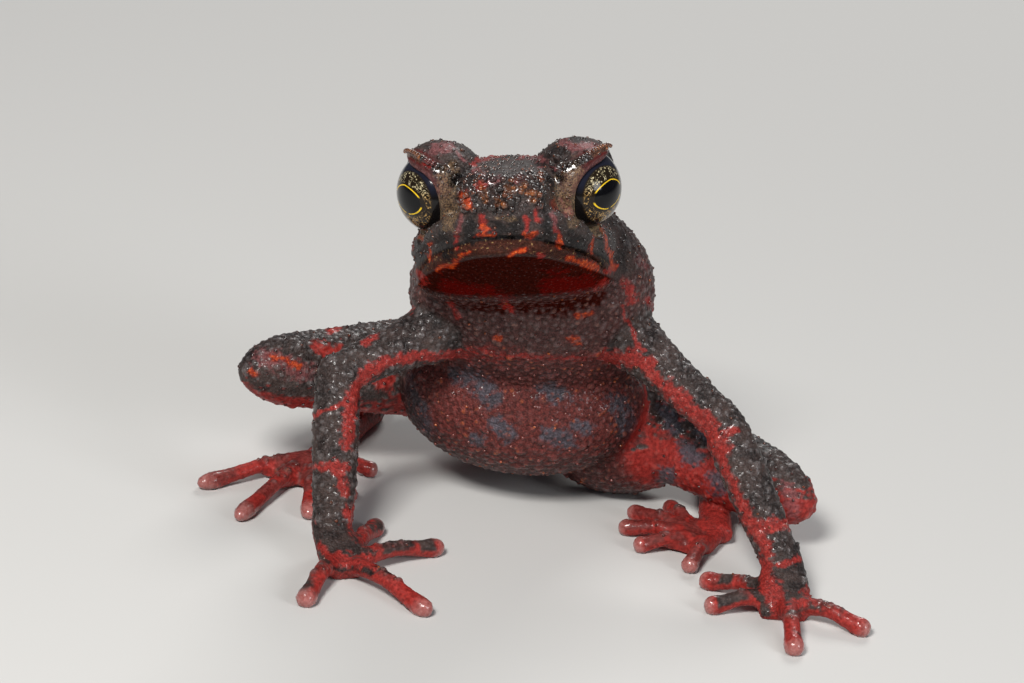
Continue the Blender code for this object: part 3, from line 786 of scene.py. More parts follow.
def funnel(cutters, side):
    """Opens the lids: it widens from the rim of the eye outwards."""
    bm = bmesh.new()
    rings = []
    for radius, flare in FUNNEL:
        ring = []
        for turn in np.linspace(0, 360, FUNNEL_SIDES, endpoint=False):
            upper = step(-0.6, 0.0, math.sin(math.radians(turn)))
            tuck = FUNNEL_TUCK * upper - FUNNEL_TUCK
            reach = radius + tuck * max(radius - EYE_RADIUS, 0)
            ring.append(bm.verts.new(rim_point(side, turn, reach, flare * upper)))
        rings.append(ring)
    rings.append([bm.verts.new((v.co.x, v.co.y, FUNNEL_FRONT)) for v in rings[-1]])
    bridge(bm, rings)
    bmesh.ops.recalc_face_normals(bm, faces=bm.faces)
    bm.transform(eye_frame(side))
    cutters.append(make_object("funnel", bm))


def cutters_of_head():
    """What is cut out of the head: the eyes' beds and openings, the nostrils and the mouth."""
    found = []
    mouth_blade(found)
    for side in (-1, 1):
        bm = bmesh.new()
        x, y, z = NOSTRIL
        ellipsoid(bm, (side * x, y, z), NOSTRIL_RADII, level=3)
        bm.transform(head_frame())
        found.append(make_object("nostril", bm))
        bm = bmesh.new()
        ellipsoid(bm, (0, 0, 0), [EYE_RADIUS - SOCKET_PLAY] * 3, level=4)
        bm.transform(eye_frame(side))
        found.append(make_object("socket", bm))
        funnel(found, side)
    return found


def build_skin():
    """The whole skin as one closed surface, in millimetres."""
    bm = bmesh.new()
    loft(bm, TRUNK, Vector((0, 1, 0.5)), steps=5, sides=48, power=2.15)
    lean = Matrix.Rotation(BODY_LEAN, 4, "X")
    ellipsoid(bm, BELLY_CENTRE, BELLY_RADII, lean)
    ellipsoid(bm, CHEST_CENTRE, CHEST_RADII, lean)
    ellipsoid(bm, HAM_CENTRE, HAM_RADII)
    ellipsoid(bm, NAPE_CENTRE, NAPE_RADII, Matrix.Rotation(NAPE_TURN, 4, "X"))
    build_head(bm)
    build_limbs(bm)
    skin = make_object("skin", bm)
    modify(skin, "REMESH", mode="VOXEL", voxel_size=FORM_VOXEL)
    modify(skin, "SMOOTH", factor=0.5, iterations=FORM_PASSES)
    apply_modifiers(skin)
    bm = bmesh.new()
    bm.from_mesh(skin.data)
    add_head_details(bm)
    bm.to_mesh(skin.data)
    bm.free()
    modify(skin, "REMESH", mode="VOXEL", voxel_size=SKIN_VOXEL)
    apply_modifiers(skin)
    cutters = cutters_of_head()
    knives = bpy.data.collections.new("knives")
    for obj in cutters:
        bpy.context.scene.collection.objects.unlink(obj)
        knives.objects.link(obj)
    bpy.context.scene.collection.children.link(knives)
    cut = {"operand_type": "COLLECTION", "collection": knives, "solver": "MANIFOLD"}
    modify(skin, "BOOLEAN", operation="DIFFERENCE", **cut)
    modify(skin, "REMESH", mode="VOXEL", voxel_size=SKIN_VOXEL)
    modify(skin, "SMOOTH", factor=0.5, iterations=SKIN_PASSES)
    apply_modifiers(skin)
    for obj in cutters:
        bpy.data.objects.remove(obj, do_unlink=True)
    bpy.data.collections.remove(knives)
    return skin


def vectors(mesh, name):
    found = np.empty(len(mesh.vertices) * 3, np.float32)
    mesh.vertices.foreach_get(name, found)
    return found.reshape(-1, 3).astype(float)


def seen_from(own, points):
    """The points as they lie in a frame of the head or of an eye."""
    inverse = np.array(own.inverted())
    return points @ inverse[:3, :3].T + inverse[:3, 3]


def limb_axes():
    """Every limb segment and digit: kind, side, its two ends and its radius."""
    rows = []
    for side, j in JOINTS.items():
        rows.append(("upper_arm", side, j["shoulder"], j["elbow"], 1.3))
        rows.append(("forearm", side, j["elbow"], j["wrist"], 1.1))
        rows.append(("palm", side, j["wrist"], between(j["wrist"], j["palm"], 1.6), 1.3))
        rows.append(("thigh", side, j["hip"], j["knee"], 2.2))
        rows.append(("shank", side, j["knee"], j["heel"], 1.25))
        rows.append(("tarsus", side, j["heel"], j["ankle"], 0.9))
        for base, tip in FINGERS[side]:
            rows.append(("finger", side, (*base, 0.7), (*tip, 0.5), FINGER_RADIUS))
        for base, tip in TOES[side]:
            rows.append(("sole", side, j["ankle"], (*base, 0.6), 0.65))
            rows.append(("toe", side, (*base, 0.6), (*tip, 0.5), TOE_RADIUS))
    return rows


class Places:
    """Where each point of the skin lies, in the head's frame and along its nearest limb."""

    def __init__(self, points, normals):
        self.points, self.normals = points, normals
        self.head = seen_from(head_frame(), points)
        nearest = np.full(len(points), 9.0)
        self.kind = np.full(len(points), "none", dtype="U9")
        self.side = np.zeros(len(points))
        self.along = np.zeros(len(points))
        for kind, side, start, end, radius in limb_axes():
            a, b = np.array(start, float), np.array(end, float)
            t = ((points - a) @ (b - a)) / ((b - a) @ (b - a))
            held = np.clip(t, 0, 1.15)
            away = np.linalg.norm(points - a - held[:, None] * (b - a), axis=1) / radius
            closer = away < nearest
            nearest[closer] = away[closer]
            self.kind[closer] = kind
            self.side[closer] = -1 if side == "right" else 1
            self.along[closer] = held[closer]
        self.limb = step(1.75, 1.25, nearest)
        ahead = self.head[:, 1] < 4.5
        self.limb[ahead] *= step(-5.0, -6.0, self.head[:, 2])[ahead]
        _, hy, hz = self.head.T
        self.on_head = step(6.5, 4.5, hy) * step(-6.4, -5.2, hz - 0.2 * hy)

        right, up, back = [np.array(axis) for axis in camera_axes()]
        away = points - np.array(CAMERA_TARGET)
        scale = CAMERA_DISTANCE / (CAMERA_DISTANCE - away @ back) / PIXEL
        self.across = FRAME_SIZE[0] / 2 + away @ right * scale
        self.down = FRAME_SIZE[1] / 2 - away @ up * scale
        self.facing = step(-0.1, 0.15, normals @ back)

    def over_mouth(self):
        """How high each point lies over the mouth line, in the head's frame."""
        rows = np.array(spline(MOUTH_LINE, 6))
        return self.head[:, 2] - np.interp(np.abs(self.head[:, 0]), rows[:, 0], rows[:, 2])

    def of(self, *kinds):
        """How far each point belongs to limbs of these kinds."""
        return np.isin(self.kind, kinds) * self.limb


def scatter(points, weights, spacing, seed):
    """Random points, each at least the spacing from the rest, where the weights are high."""
    rng = np.random.default_rng(seed)
    chance = rng.random(len(points))
    wanted = np.flatnonzero(chance < weights)
    rng.shuffle(wanted)
    wanted = wanted[:MOST_PLACES]
    tree = KDTree(len(wanted))
    for k, i in enumerate(wanted):
        tree.insert(points[i], k)
    tree.balance()
    free = np.ones(len(wanted), bool)
    chosen = []
    for k, i in enumerate(wanted):
        if free[k]:
            chosen.append(i)
            for _, other, _ in tree.find_range(points[i], spacing):
                free[other] = False
    return chosen


def grow_warts(places, coarseness):
    """The height of the warts over the smooth skin, and how near each point is to a wart's tip."""
    points = places.points
    height, tip = np.zeros(len(points)), np.zeros(len(points))
    tree = KDTree(len(points))
    for i, p in enumerate(points):
        tree.insert(p, i)
    tree.balance()
    for number, (name, (spacing, least, most, rise)) in enumerate(WARTS.items()):
        rng = np.random.default_rng(WART_SEED + number)
        weight = coarseness[name]
        for i in scatter(points, weight * 0.5, spacing, WART_PLACE_SEED + number):
            radius = rng.uniform(least, most)
            lift = rise * rng.uniform(0.6, 1.25)
            found = tree.find_range(points[i], radius)
            index = np.array([f[1] for f in found])
            away = np.array([f[2] for f in found]) / radius
            bump = 1 - away**2
            height[index] = np.maximum(height[index], lift * bump)
            tip[index] = np.maximum(tip[index], bump * (1.0 if name != "fine" else 0.7))
    return height, tip


def bead_rows(places, points, coarse):
    """The small wet beads that stand on the skin: x, y, z and radius of each."""
    rows = []
    rng = np.random.default_rng(RIDGE_SEED)
    for side in (-1, 1):
        ridge = lid_ridge(side)
        for first, last, count, least, most in RIDGE_BEADS.values():
            for share in np.linspace(first, last, count, endpoint=False):
                place = share * (len(ridge) - 1)
                p = ridge[int(place)].lerp(ridge[int(place) + 1], place - int(place))
                radius = rng.uniform(least, most)
                rows.append((*(eye_frame(side) @ (p * RIDGE_BEAD_LIFT)), radius))
    hx, hy, hz = places.head.T
    snout = places.on_head * step(2.1, 1.6, np.abs(hx + 0.2)) * step(-2.5, -3.5, hy)
    snout *= step(-1.0, -0.7, hz) * step(0.85, 0.5, hz)
    table = (
        (HEAD_BEADS, coarse["beads"] * places.on_head),
        (BODY_BEADS, coarse["beads"]),
        (SNOUT_BEADS, snout),
    )
    for number, ((spacing, least, most), weight) in enumerate(table):
        rng = np.random.default_rng(BEAD_SEED + number)
        for i in scatter(points, weight * 0.5, spacing, BEAD_PLACE_SEED + number):
            radius = rng.uniform(least, most)
            rows.append((*(points[i] + places.normals[i] * radius * BEAD_LIFT), radius))
    return rows


def add_balls(mesh, rows):
    """Joins a small ball for each row to the mesh."""
    shape = bmesh.new()
    ellipsoid(shape, (0, 0, 0), (1, 1, 1), level=1)
    ball = np.array([v.co for v in shape.verts])
    faces = np.array([[v.index for v in f.verts] for f in shape.faces])
    shape.free()
    rows = np.array(rows)
    places = (rows[:, None, :3] + rows[:, None, 3:] * ball).reshape(-1, 3)
    shift = len(ball) * np.arange(len(rows))[:, None, None]
    balls = bpy.data.meshes.new("balls")
    balls.from_pydata(places.tolist(), [], (faces + shift).reshape(-1, 3).tolist())
    bm = bmesh.new()
    bm.from_mesh(mesh)
    bm.from_mesh(balls)
    bm.to_mesh(mesh)
    bm.free()
    bpy.data.meshes.remove(balls)


def mark(found, kind, strength):
    found[kind] = np.maximum(found[kind], strength)


def mark_from_view(found, places, areas, blur):
    """Paints the markings that the picture shows on to what faces its camera."""
    warp = [MARK_WARP * layered(places.points, 0.7, seed) for seed in (91, 95)]
    ragged = 0.35 * blur + 0.9 * layered(places.points, 0.2, 97)
    across, down = places.across + warp[0], places.down + warp[1]
    for (kind, area), rows in VIEW_MARKS.items():
        for x0, y0, x1, y1, half in rows:
            dx, dy = x1 - x0, y1 - y0
            t = np.clip(((across - x0) * dx + (down - y0) * dy) / (dx * dx + dy * dy), 0, 1)
            away = np.hypot(across - x0 - t * dx, down - y0 - t * dy) / half
            mark(found, kind, areas[area] * places.facing * step(*MARK_EDGE, away + ragged))


def mark_mouth(found, places, front):
    """The painted shade of the crease between the lips, the lower lip, and the throat below it."""
    hy = places.head[:, 1]
    lift = places.over_mouth()
    # A black line along the mouth: painted shade in the crease between the lips
    mark(found, "black", front * step(0.16, 0.06, np.abs(lift + 0.02)))
    mark(found, "lip", front * step(0.0, -0.1, lift) * step(-0.95, -0.75, lift))
    # The throat is dark red, partly its own colour and partly painted shade
    throat = places.on_head * step(-0.8, -1.0, lift)
    mark(found, "throat", throat * step(4.6, 3.6, hy))


def mark_eyes(found, places):
    """Amber beads on the ridge, painted shadow under it, and pink and golden skin round the eye."""
    for side in (-1, 1):
        local = seen_from(eye_frame(side), places.points)
        reach = np.linalg.norm(local, axis=1)
        near = np.flatnonzero(reach < 3.4)
        ridge = np.full(len(reach), 9.0)
        share = np.zeros(len(reach))
        points = lid_ridge(side)
        for k, p in enumerate(points):
            away = np.linalg.norm(local[near] - np.array(p), axis=1)
            closer = away < ridge[near]
            ridge[near[closer]] = away[closer]
            share[near[closer]] = k / len(points)
        angle = np.degrees(np.arccos(local[:, 2] / reach))
        on_ridge = step(0.28, 0.2, ridge)
        mark(found, "amber", on_ridge * step(0.62, 0.5, share))
        mark(found, "black", on_ridge * step(0.6, 0.75, share) * 0.6)
        mark(found, "wet", on_ridge)
        inner = step(2.75, 2.5, reach) * step(75, 68, angle) * (1 - on_ridge)
        above = step(-0.2, 0.5, local[:, 1])
        mark(found, "pink", 0.75 * inner * above * step(0.3, 0.5, ridge))
        # A deep red painted shadow in the hollow under the ridge
        mark(found, "deep", inner * above * step(0.5, 0.3, ridge))
        mark(found, "gold", inner * (1 - above))
        mark(found, "edge", step(2.32, 2.2, reach) * step(75, 68, angle) * (1 - above))
        # The skin that meets the eyeball is painted black: painted shade in the seam
        mark(found, "black", step(2.16, 2.13, reach))


def marks(places):
    """How strong each marking is at each point of the skin."""
    points, normals = places.points, places.normals
    x, y, z = points.T
    nx, ny, nz = normals.T
    blur = layered(points, 0.55, 3)
    cloud = layered(points, 2.4, 5)
    found = {kind: np.zeros(len(points)) for kind in KINDS}
    head = places.on_head
    torso = (1 - head) * (1 - places.limb)
    arm, leg = places.of("upper_arm", "forearm"), places.of("thigh", "shank")
    foot = places.of("palm", "finger", "toe", "sole", "tarsus")
    areas = {
        "head": head,
        "torso": torso,
        "body": 1 - head,
        "arm": arm,
        "leg": leg,
        "hand": places.of("palm", "finger", "forearm"),
    }
    mark_from_view(found, places, areas, blur)
    mark_mouth(found, places, head * step(2.5, 1.0, places.head[:, 1]))
    mark_eyes(found, places)
    unseen = 1 - places.facing
    # The back carries muted red patches; the belly is brick red below a bright edge
    mark(found, "pink", 0.7 * (head + torso) * unseen * step(0.45, 0.62, cloud))
    belly = torso * step(11.0, 10.3, z + 0.4 * blur) * step(0.35, -0.1, ny * 0.8 + nz * 0.6)
    mark(found, "belly", np.maximum(belly, 0.4 * torso * step(0.2, -0.3, ny)))
    mark(found, "grey", belly * unseen * step(0.12, 0.4, layered(points, 1.5, 8)))
    # Painted shade darkens the belly where it turns from the camera, and near the ground
    turned = step(0.8, 0.35, normals @ np.array(camera_axes()[2]))
    mark(found, "shade", belly * np.maximum(turned, 0.7 * step(4.5, 2.0, z)))
    # The arms are charcoal, with a red inner edge; the legs dark above and smooth red below
    inward = -places.side * nx * 0.8 - nz * 0.35
    mark(found, "red", arm * unseen * step(0.45, 0.75, inward + 0.3 * blur))
    left = places.side > 0
    under_left = step(0.62, 0.3, nz + 0.25 * cloud)
    under = np.where(left, under_left, step(-0.2, -0.5, nz + 0.2 * cloud))
    mark(found, "red", leg * under)
    mark(found, "grey", leg * unseen * under * step(0.3, 0.42, layered(points, 1.7, 14)))
    flecks = step(0.42, 0.6, layered(points, 1.3, 17))
    mark(found, "orange", 0.6 * leg * unseen * (1 - under) * flecks)
    # Hands and feet are red with dark bands, and the digits end in pale tips
    digit_skin = places.of("finger", "toe")
    bands = np.stack([places.along * 5, x * 0.4, y * 0.4], 1)
    dark = step(-0.1, 0.2, noise(bands, 1.0, 61) + 0.3 * blur) * step(-0.1, 0.3, nz)
    dark *= np.where(places.of("finger") > 0, 1.0, 0.5)
    dark = np.maximum(dark, step(-0.2, 0.2, nz) * (places.of("palm") > 0))
    mark(found, "red", foot * (1 - dark))
    mark(found, "pale", digit_skin * step(0.86, 1.04, places.along + 0.05 * blur))
    mark(found, "wet", 0.8 * digit_skin * step(0.82, 0.92, places.along))
    return found


def coarseness_of(places):
    """How many warts and beads of each size each point of the skin carries."""
    points = places.points
    smooth = places.of("finger", "toe", "sole", "palm", "tarsus")
    leg = places.of("thigh", "shank")
    hidden = np.zeros(len(points))
    for side in (-1, 1):
        local = seen_from(eye_frame(side), points)
        reach = np.linalg.norm(local, axis=1)
        hidden = np.maximum(hidden, step(2.7, 2.5, reach) * step(0.8, 1.1, local[:, 2]))
        hidden = np.maximum(hidden, step(2.3, 2.2, reach))
    lift = places.over_mouth()
    mouth = places.on_head * step(-1.0, -0.8, lift) * step(0.3, 0.1, lift)
    throat = places.on_head * step(-0.5, -0.9, lift)
    bare = np.clip(1 - hidden - mouth, 0, 1)
    top = step(-0.1, 0.5, places.normals[:, 2])
    nz = places.normals[:, 2]
    below = np.where(places.side > 0, step(0.85, 0.6, nz), step(0.1, -0.2, nz))
    body = (1 - places.on_head) * (1 - smooth) * (1 - 0.93 * leg * below)
    beaded = np.clip(places.on_head + 0.8 * body, 0, 1)
    return {
        "large": bare * body * (0.3 * top + 0.1),
        "medium": bare * body,
        "fine": bare * (1 - 0.75 * places.on_head) * (1 - 0.7 * smooth) * (1 - 0.8 * leg * below),
        "beads": bare * beaded * (1 - throat) * step(0.8, 1.2, points[:, 2]),
    }


def write_attribute(mesh, name, values):
    layer = mesh.attributes.new(name, "FLOAT_COLOR", "POINT")
    data = np.zeros((len(mesh.vertices), 4), np.float32)
    for k, value in enumerate(values):
        data[:, k] = value
    layer.data.foreach_set("color", data.ravel())


def finish_skin(skin):
    """Grows the warts and beads, flattens the soles, and writes the markings on to the skin."""
    mesh = skin.data
    points, normals = vectors(mesh, "co"), vectors(mesh, "normal")
    places = Places(points, normals)
    coarse = coarseness_of(places)
    height, tip = grow_warts(places, coarse)
    ripple = 0.02 * layered(points, 0.6, 71) * (1 - 0.7 * places.of("finger", "toe"))
    moved = points + normals * (height + ripple)[:, None]
    moved[:, 2] = np.maximum(moved[:, 2], ORIGIN.z)
    mesh.vertices.foreach_set("co", moved.astype(np.float32).ravel())
    add_balls(mesh, bead_rows(places, moved, coarse))
    extra = len(mesh.vertices) - len(points)
    bead = np.concatenate([np.zeros(len(points)), np.ones(extra)])
    tip = np.concatenate([tip, np.zeros(extra)])
    places = Places(vectors(mesh, "co"), vectors(mesh, "normal"))
    found = marks(places)
    found["tip"] = tip
    found["bead"] = bead
    # Amber shows mostly on the beads; on the snout it is partly a painted highlight
    found["amber"] *= 0.4 + 0.6 * bead
    # The grain mask sets where the granules' bumps and the painted shade of their furrows go
    found["grain"] = (1 - bead) * (1 - 0.8 * places.of("finger", "toe", "sole"))
    found["grain"] *= 1 - 0.75 * places.of("thigh", "shank") * found["red"]
    for name, kinds in CHANNELS.items():
        write_attribute(mesh, name, [found[kind] for kind in kinds])
    mesh.transform(Matrix.Scale(MM, 4) @ Matrix.Translation(-ORIGIN))
    mesh.shade_smooth()
    mesh.update()


class Graph:
    """A material's node tree, with short calls for its nodes."""

    def __init__(self, name):
        self.material = bpy.data.materials.new(name)
        self.material.use_nodes = True
        self.tree = self.material.node_tree
        self.shader = self.tree.nodes["Principled BSDF"]

    def node(self, kind, links=None, **values):
        made = self.tree.nodes.new(kind)
        for name, value in values.items():
            setattr(made, name, value)
        for socket, source in (links or {}).items():
            self.feed(made.inputs[socket], source)
        return made

    def feed(self, socket, source):
        if isinstance(source, bpy.types.NodeSocket):
            self.tree.links.new(source, socket)
        else:
            socket.default_value = source

    def math(self, operation, a, b=0.0):
        return self.node("ShaderNodeMath", {0: a, 1: b}, operation=operation).outputs[0]

    def times(self, a, b):
        return self.math("MULTIPLY", a, b)

    def mix(self, share, a, b, blend="MIX"):
        made = self.node("ShaderNodeMix", {0: share}, data_type="RGBA", blend_type=blend)
        for socket, colour in ((made.inputs[6], a), (made.inputs[7], b)):
            linked = isinstance(colour, bpy.types.NodeSocket)
            self.feed(socket, colour if linked else (*colour, 1.0))
        return made.outputs[2]

    def ramp(self, value, stops):
        made = self.node("ShaderNodeValToRGB", {0: value})
        for k, (place, level) in enumerate(stops):
            stop = made.color_ramp.elements[k] if k < 2 else made.color_ramp.elements.new(place)
            stop.position = place
            stop.color = (*level, 1.0) if isinstance(level, tuple) else (level, level, level, 1.0)
        return made.outputs[0]

    def noise(self, scale, detail=3.0, rough=0.5, vector=None):
        links = {"Scale": scale, "Detail": detail, "Roughness": rough}
        if vector is not None:
            links["Vector"] = vector
        return self.node("ShaderNodeTexNoise", links).outputs["Fac"]


def skin_material():
    """Wet, granular skin: charcoal with red, grey, orange, pink and gold markings."""
    g = Graph("skin")
    place = g.node("ShaderNodeTexCoord").outputs["Object"]
    masks = {}
    for name, kinds in CHANNELS.items():
        source = g.node("ShaderNodeAttribute", attribute_name=name)
        split = g.node("ShaderNodeSeparateColor", {0: source.outputs["Color"]})
        for k, kind in enumerate(kinds):
            masks[kind] = split.outputs[k] if k < 3 else source.outputs["Alpha"]
    coarse = g.noise(900.0, 4.0, 0.6, place)
    fine = g.noise(5200.0, 3.0, 0.6, place)
    grit = g.noise(16000.0, 2.0, 0.5, place)
    cells = g.node("ShaderNodeTexVoronoi", {"Vector": place, "Scale": 9500.0}, feature="F1")
    distance = cells.outputs["Distance"]
    net_links = {"Vector": place, "Scale": 7700.0}
    veins = g.node("ShaderNodeTexVoronoi", net_links, feature="DISTANCE_TO_EDGE")
    net = g.ramp(veins.outputs["Distance"], [(0.03, 1.0), (0.22, 0.12)])

    def lay(under, kind, share, dark, light):
        """Lays a marking of two mingled colours over the rest."""
        return g.mix(g.times(masks[kind], share), under, g.mix(grain, dark, light))

    grain = g.ramp(fine, [(0.35, 0.0), (0.68, 1.0)])
    clouds = g.ramp(coarse, [(0.38, 0.0), (0.62, 1.0)])
    colour = g.mix(clouds, (0.012, 0.0075, 0.007), (0.058, 0.036, 0.031))
    colour = g.mix(g.ramp(fine, [(0.45, 0.0), (0.72, 0.6)]), colour, (0.1, 0.078, 0.075))
    for kind, share, dark, light in SKIN_LAYERS:
        colour = lay(colour, kind, share, dark, light)
    heat = g.ramp(masks["orange"], [(0.4, 0.0), (1.0, 1.0)])
    hot = g.mix(heat, (0.26, 0.012, 0.006), (0.75, 0.1, 0.015))
    colour = lay(colour, "orange", 0.92, (0.2, 0.01, 0.005), hot)
    colour = lay(colour, "amber", 0.95, (0.09, 0.024, 0.007), (0.34, 0.11, 0.03))
    net = g.times(net, g.ramp(fine, [(0.35, 0.35), (0.6, 1.0)]))
    gold = g.times(masks["gold"], net)
    colour = g.mix(g.times(gold, 0.85), colour, (0.32, 0.2, 0.105))
    specks = g.times(masks["lip"], g.ramp(fine, [(0.62, 0.0), (0.68, 0.8)]))
    colour = g.mix(specks, colour, (0.4, 0.26, 0.1))
    colour = g.mix(g.times(masks["edge"], 0.85), colour, (0.3, 0.2, 0.11))
    colour = lay(colour, "pale", 0.9, (0.3, 0.085, 0.075), (0.42, 0.18, 0.165))
    few = g.ramp(g.noise(1700.0, 2.0, 0.5, place), [(0.56, 0.0), (0.62, 1.0)])
    glow = g.mix(few, (0.17, 0.04, 0.035), (0.45, 0.1, 0.03))
    tipped = g.mix(masks["red"], (0.16, 0.137, 0.135), (0.42, 0.06, 0.045))
    tipped = g.mix(masks["belly"], tipped, glow)
    colour = g.mix(g.ramp(masks["tip"], [(0.4, 0.0), (0.95, 0.6)]), colour, tipped)
    tint = g.mix(few, (0.02, 0.014, 0.013), (0.13, 0.036, 0.014))
    tint = g.mix(masks["belly"], tint, g.mix(few, (0.2, 0.05, 0.04), (0.5, 0.11, 0.02)))
    plain = g.math("SUBTRACT", 0.75, g.times(masks["amber"], 0.75))
    colour = g.mix(g.times(masks["bead"], plain), colour, tint)
    # Painted shade darkens the furrows between the granules
    furrow_shade = g.ramp(distance, [(0.3, 1.0), (0.75, 0.55)])
    colour = g.mix(g.times(masks["grain"], 0.8), colour, furrow_shade, "MULTIPLY")
    g.feed(g.shader.inputs["Base Color"], colour)
    wet = g.math("MAXIMUM", masks["wet"], masks["bead"])
    wet = g.math("MAXIMUM", wet, g.times(masks["tip"], 0.5))
    dry = g.ramp(coarse, [(0.3, 0.48), (0.7, 0.68)])
    g.feed(g.shader.inputs["Roughness"], g.mix(wet, dry, (0.2, 0.2, 0.2)))
    dull = g.math("MAXIMUM", masks["throat"], g.times(masks["lip"], 0.6))
    lit = g.math("SUBTRACT", 1.0, dull)
    coat = g.math("ADD", g.times(wet, 0.75), 0.06)
    g.feed(g.shader.inputs["Coat Weight"], g.times(coat, lit))
    g.feed(g.shader.inputs["Specular IOR Level"], g.times(lit, 0.22))
    g.shader.inputs["Coat Roughness"].default_value = 0.1
    g.shader.inputs["Subsurface Weight"].default_value = 0.08
    g.shader.inputs["Subsurface Radius"].default_value = (1.0, 0.3, 0.2)
    g.shader.inputs["Subsurface Scale"].default_value = 0.0003
    granule = g.times(g.math("SUBTRACT", 1.0, distance), masks["grain"])
    relief = g.math("ADD", granule, g.times(grit, g.times(masks["grain"], 0.4)))
    bump = g.node("ShaderNodeBump", {"Height": relief, "Strength": 0.8, "Distance": 0.00005})
    g.feed(g.shader.inputs["Normal"], bump.outputs["Normal"])
    return g.material


def eye_material():
    """A black iris with gold flecks, a pupil edged with yellow lines, and a clear wet surface."""
    g = Graph("eye")
    sight = g.node("ShaderNodeAttribute", attribute_name="sight").outputs["Vector"]
    x, y, z = g.node("ShaderNodeSeparateXYZ", {0: sight}).outputs
    across = g.math("SUBTRACT", g.math("ARCTAN2", x, z), PUPIL_CENTRE[0])
    raised = g.times(across, PUPIL_SLOPE)
    upward = g.math("SUBTRACT", g.math("ARCSINE", y), g.math("ADD", raised, PUPIL_CENTRE[1]))
    wide = g.math("POWER", g.math("ABSOLUTE", g.math("DIVIDE", across, PUPIL_HALF[0])), 1.6)
    height = g.math("ABSOLUTE", g.math("DIVIDE", upward, PUPIL_HALF[1]))
    away = g.math("DIVIDE", g.math("ADD", wide, g.math("POWER", height, 2.0)), 4.0)
    above = g.ramp(g.math("ADD", y, 0.5), [(0.5, 0.0), (0.72, 1.0)])
    fine = g.noise(9.0, 4.0, 0.6, sight)
    worm_links = {"Vector": sight, "Scale": 6.5, "Detail": 1.5, "Distortion": 1.4}
    worms = g.node("ShaderNodeTexNoise", worm_links).outputs["Fac"]
    worms = g.math("ABSOLUTE", g.math("SUBTRACT", worms, 0.5))
    worms = g.ramp(worms, [(0.016, 1.0), (0.028, 0.0)])
    dots = g.node("ShaderNodeTexVoronoi", {"Vector": sight, "Scale": 18.0}, feature="F1")
    lot = g.node("ShaderNodeSeparateColor", {0: dots.outputs["Color"]}).outputs[0]
    chosen = g.math("GREATER_THAN", lot, 0.74)
    dot = g.times(chosen, g.ramp(dots.outputs["Distance"], [(0.32, 1.0), (0.42, 0.0)]))
    patchy = g.ramp(g.noise(4.5, 2.0, 0.5, sight), [(0.38, 0.0), (0.5, 1.0)])
    worm_share = g.times(patchy, g.math("ADD", g.times(above, 0.35), 0.65))
    worms = g.times(worms, worm_share)
    fleck = g.math("MAXIMUM", worms, g.times(dot, 0.9))
    turned = g.math("ARCCOSINE", z)
    band = g.ramp(turned, [(0.69, 1.0), (0.75, 0.0)])
    band = g.times(g.ramp(away, [(0.33, 0.0), (0.42, 1.0)]), band)
    fleck = g.times(fleck, band)
    low_gold = g.mix(fine, (0.42, 0.2, 0.05), (0.62, 0.42, 0.16))
    high_gold = g.mix(fine, (0.42, 0.34, 0.17), (0.66, 0.58, 0.38))
    colour = g.mix(fleck, (0.014, 0.009, 0.005), g.mix(above, low_gold, high_gold))
    # The ring round the iris: near black below and slate blue above, the blue partly a painted
    # reflection
    slate_and_reflection = g.mix(above, (0.006, 0.005, 0.005), (0.011, 0.012, 0.022))
    colour = g.mix(g.ramp(turned, [(0.74, 0.0), (0.78, 1.0)]), colour, slate_and_reflection)
    line = g.ramp(away, [(0.245, 0.0), (0.253, 1.0), (0.282, 1.0), (0.295, 0.0)])
    notch = g.math("ABSOLUTE", g.math("SUBTRACT", across, PUPIL_NOTCH))
    notch = g.ramp(notch, [(0.03, 0.0), (0.05, 1.0)])
    line = g.times(line, g.math("MAXIMUM", notch, g.math("GREATER_THAN", upward, 0.0)))
    line = g.times(line, g.ramp(height, [(0.3, 0.0), (0.42, 1.0)]))
    colour = g.mix(line, colour, (0.8, 0.52, 0.02))
    pupil = g.ramp(away, [(0.243, 1.0), (0.25, 0.0)])
    colour = g.mix(pupil, colour, (0.002, 0.002, 0.003))
    g.feed(g.shader.inputs["Base Color"], colour)
    g.shader.inputs["Roughness"].default_value = 0.15
    g.shader.inputs["Specular IOR Level"].default_value = 0.12
    g.shader.inputs["Coat Weight"].default_value = 0.8
    g.shader.inputs["Coat IOR"].default_value = 1.26
    g.shader.inputs["Coat Roughness"].default_value = 0.03
    bump = g.node("ShaderNodeBump", {"Height": fleck, "Strength": 0.25, "Distance": 0.00003})
    g.feed(g.shader.inputs["Normal"], bump.outputs["Normal"])
    return g.material


def build_scene_eyes(material):
    """Two eyeballs that keep their sight line as an attribute, for the iris to be painted round."""
    made = []
    for name, side in (("eyeball_right", -1), ("eyeball_left", 1)):
        bm = bmesh.new()
        segments = {"u_segments": EYE_SEGMENTS, "v_segments": EYE_SEGMENTS // 2}
        bmesh.ops.create_uvsphere(bm, radius=1.0, **segments)
        obj = make_object(name, bm)
        local = vectors(obj.data, "co")
        layer = obj.data.attributes.new("sight", "FLOAT_VECTOR", "POINT")
        out = local * (side, 1, 1)
        layer.data.foreach_set("vector", out.astype(np.float32).ravel())
        own = eye_frame(side) @ Matrix.Scale(EYE_RADIUS, 4)
        obj.data.transform(Matrix.Scale(MM, 4) @ Matrix.Translation(-ORIGIN) @ own)
        obj.data.shade_smooth()
        obj.data.materials.append(material)
        made.append(obj)
    return made


def camera_axes():
    """The camera's right, up and backward directions."""
    ahead = Vector((0, math.cos(CAMERA_PITCH), -math.sin(CAMERA_PITCH)))
    level, rise = Vector((1, 0, 0)), Vector((0, math.sin(CAMERA_PITCH), math.cos(CAMERA_PITCH)))
    right = math.cos(CAMERA_ROLL) * level + math.sin(CAMERA_ROLL) * rise
    up = -math.sin(CAMERA_ROLL) * level + math.cos(CAMERA_ROLL) * rise
    return right, up, -ahead


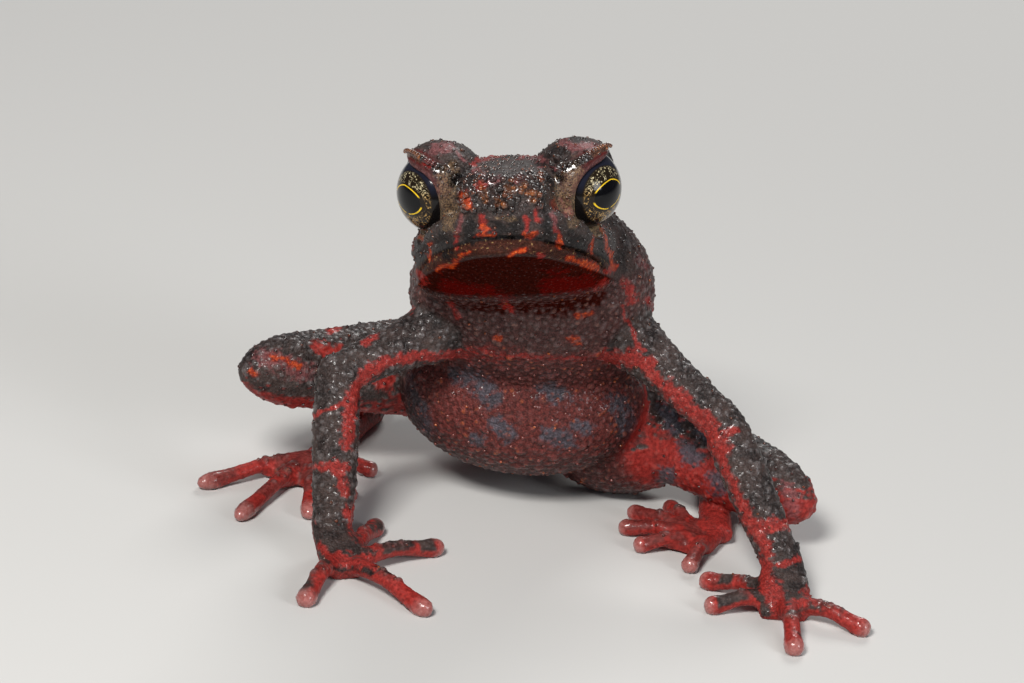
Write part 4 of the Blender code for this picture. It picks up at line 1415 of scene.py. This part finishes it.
def add_camera():
    data = bpy.data.cameras.new("camera")
    camera = bpy.data.objects.new("camera", data)
    bpy.context.scene.collection.objects.link(camera)
    right, up, back = camera_axes()
    place = Matrix((right, up, back)).transposed().to_4x4()
    place.translation = (CAMERA_TARGET - ORIGIN + back * CAMERA_DISTANCE) * MM
    camera.matrix_world = place
    data.sensor_width = SENSOR
    data.lens = SENSOR * CAMERA_DISTANCE / (FRAME_SIZE[0] * PIXEL)
    data.clip_start = 0.001
    data.clip_end = 10.0
    bpy.context.scene.camera = camera


def add_light(name, place, size, power, colour):
    """A soft square light that faces the toad."""
    data = bpy.data.lights.new(name, "AREA")
    data.size = size
    data.energy = power
    data.color = colour
    light = bpy.data.objects.new(name, data)
    bpy.context.scene.collection.objects.link(light)
    light.location = place
    aim = Vector((0, 0, 0.012)) - Vector(place)
    light.rotation_euler = aim.to_track_quat("-Z", "Y").to_euler()


def add_stage():
    """A plain pale floor and soft studio light."""
    bm = bmesh.new()
    bmesh.ops.create_grid(bm, x_segments=1, y_segments=1, size=3.0)
    floor = make_object("floor", bm)
    floor.location.z = -0.00002
    g = Graph("floor")
    tone = g.mix(g.noise(30.0, 2.0), (0.56, 0.555, 0.54), (0.6, 0.595, 0.58))
    g.feed(g.shader.inputs["Base Color"], tone)
    g.shader.inputs["Roughness"].default_value = 0.9
    floor.data.materials.append(g.material)
    world = bpy.data.worlds.new("world")
    bpy.context.scene.world = world
    bpy.context.scene.view_settings.view_transform = "Standard"
    world.use_nodes = True
    back = world.node_tree.nodes["Background"]
    back.inputs["Color"].default_value = (0.86, 0.9, 1.0, 1.0)
    back.inputs["Strength"].default_value = 0.1
    add_light("key", (-0.07, -0.17, 0.2), 0.07, 0.75, (1.0, 0.98, 0.95))
    add_light("fill", (0.2, -0.16, 0.12), 0.1, 0.28, (0.95, 0.97, 1.0))
    add_light("rim", (0.05, 0.24, 0.2), 0.12, 0.4, (1.0, 0.99, 0.97))


def main():
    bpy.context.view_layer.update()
    skin = build_skin()
    finish_skin(skin)
    skin.data.materials.clear()
    skin.data.materials.append(skin_material())
    skin.name = "toad_skin"
    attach(skin, "root")
    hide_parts(*[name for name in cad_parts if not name.startswith("eye")])
    right, left = build_scene_eyes(eye_material())
    for eye, node in ((right, "eye_right"), (left, "eye_left")):
        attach(eye, "root")
        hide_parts(node)
    add_stage()
    add_camera()


main()
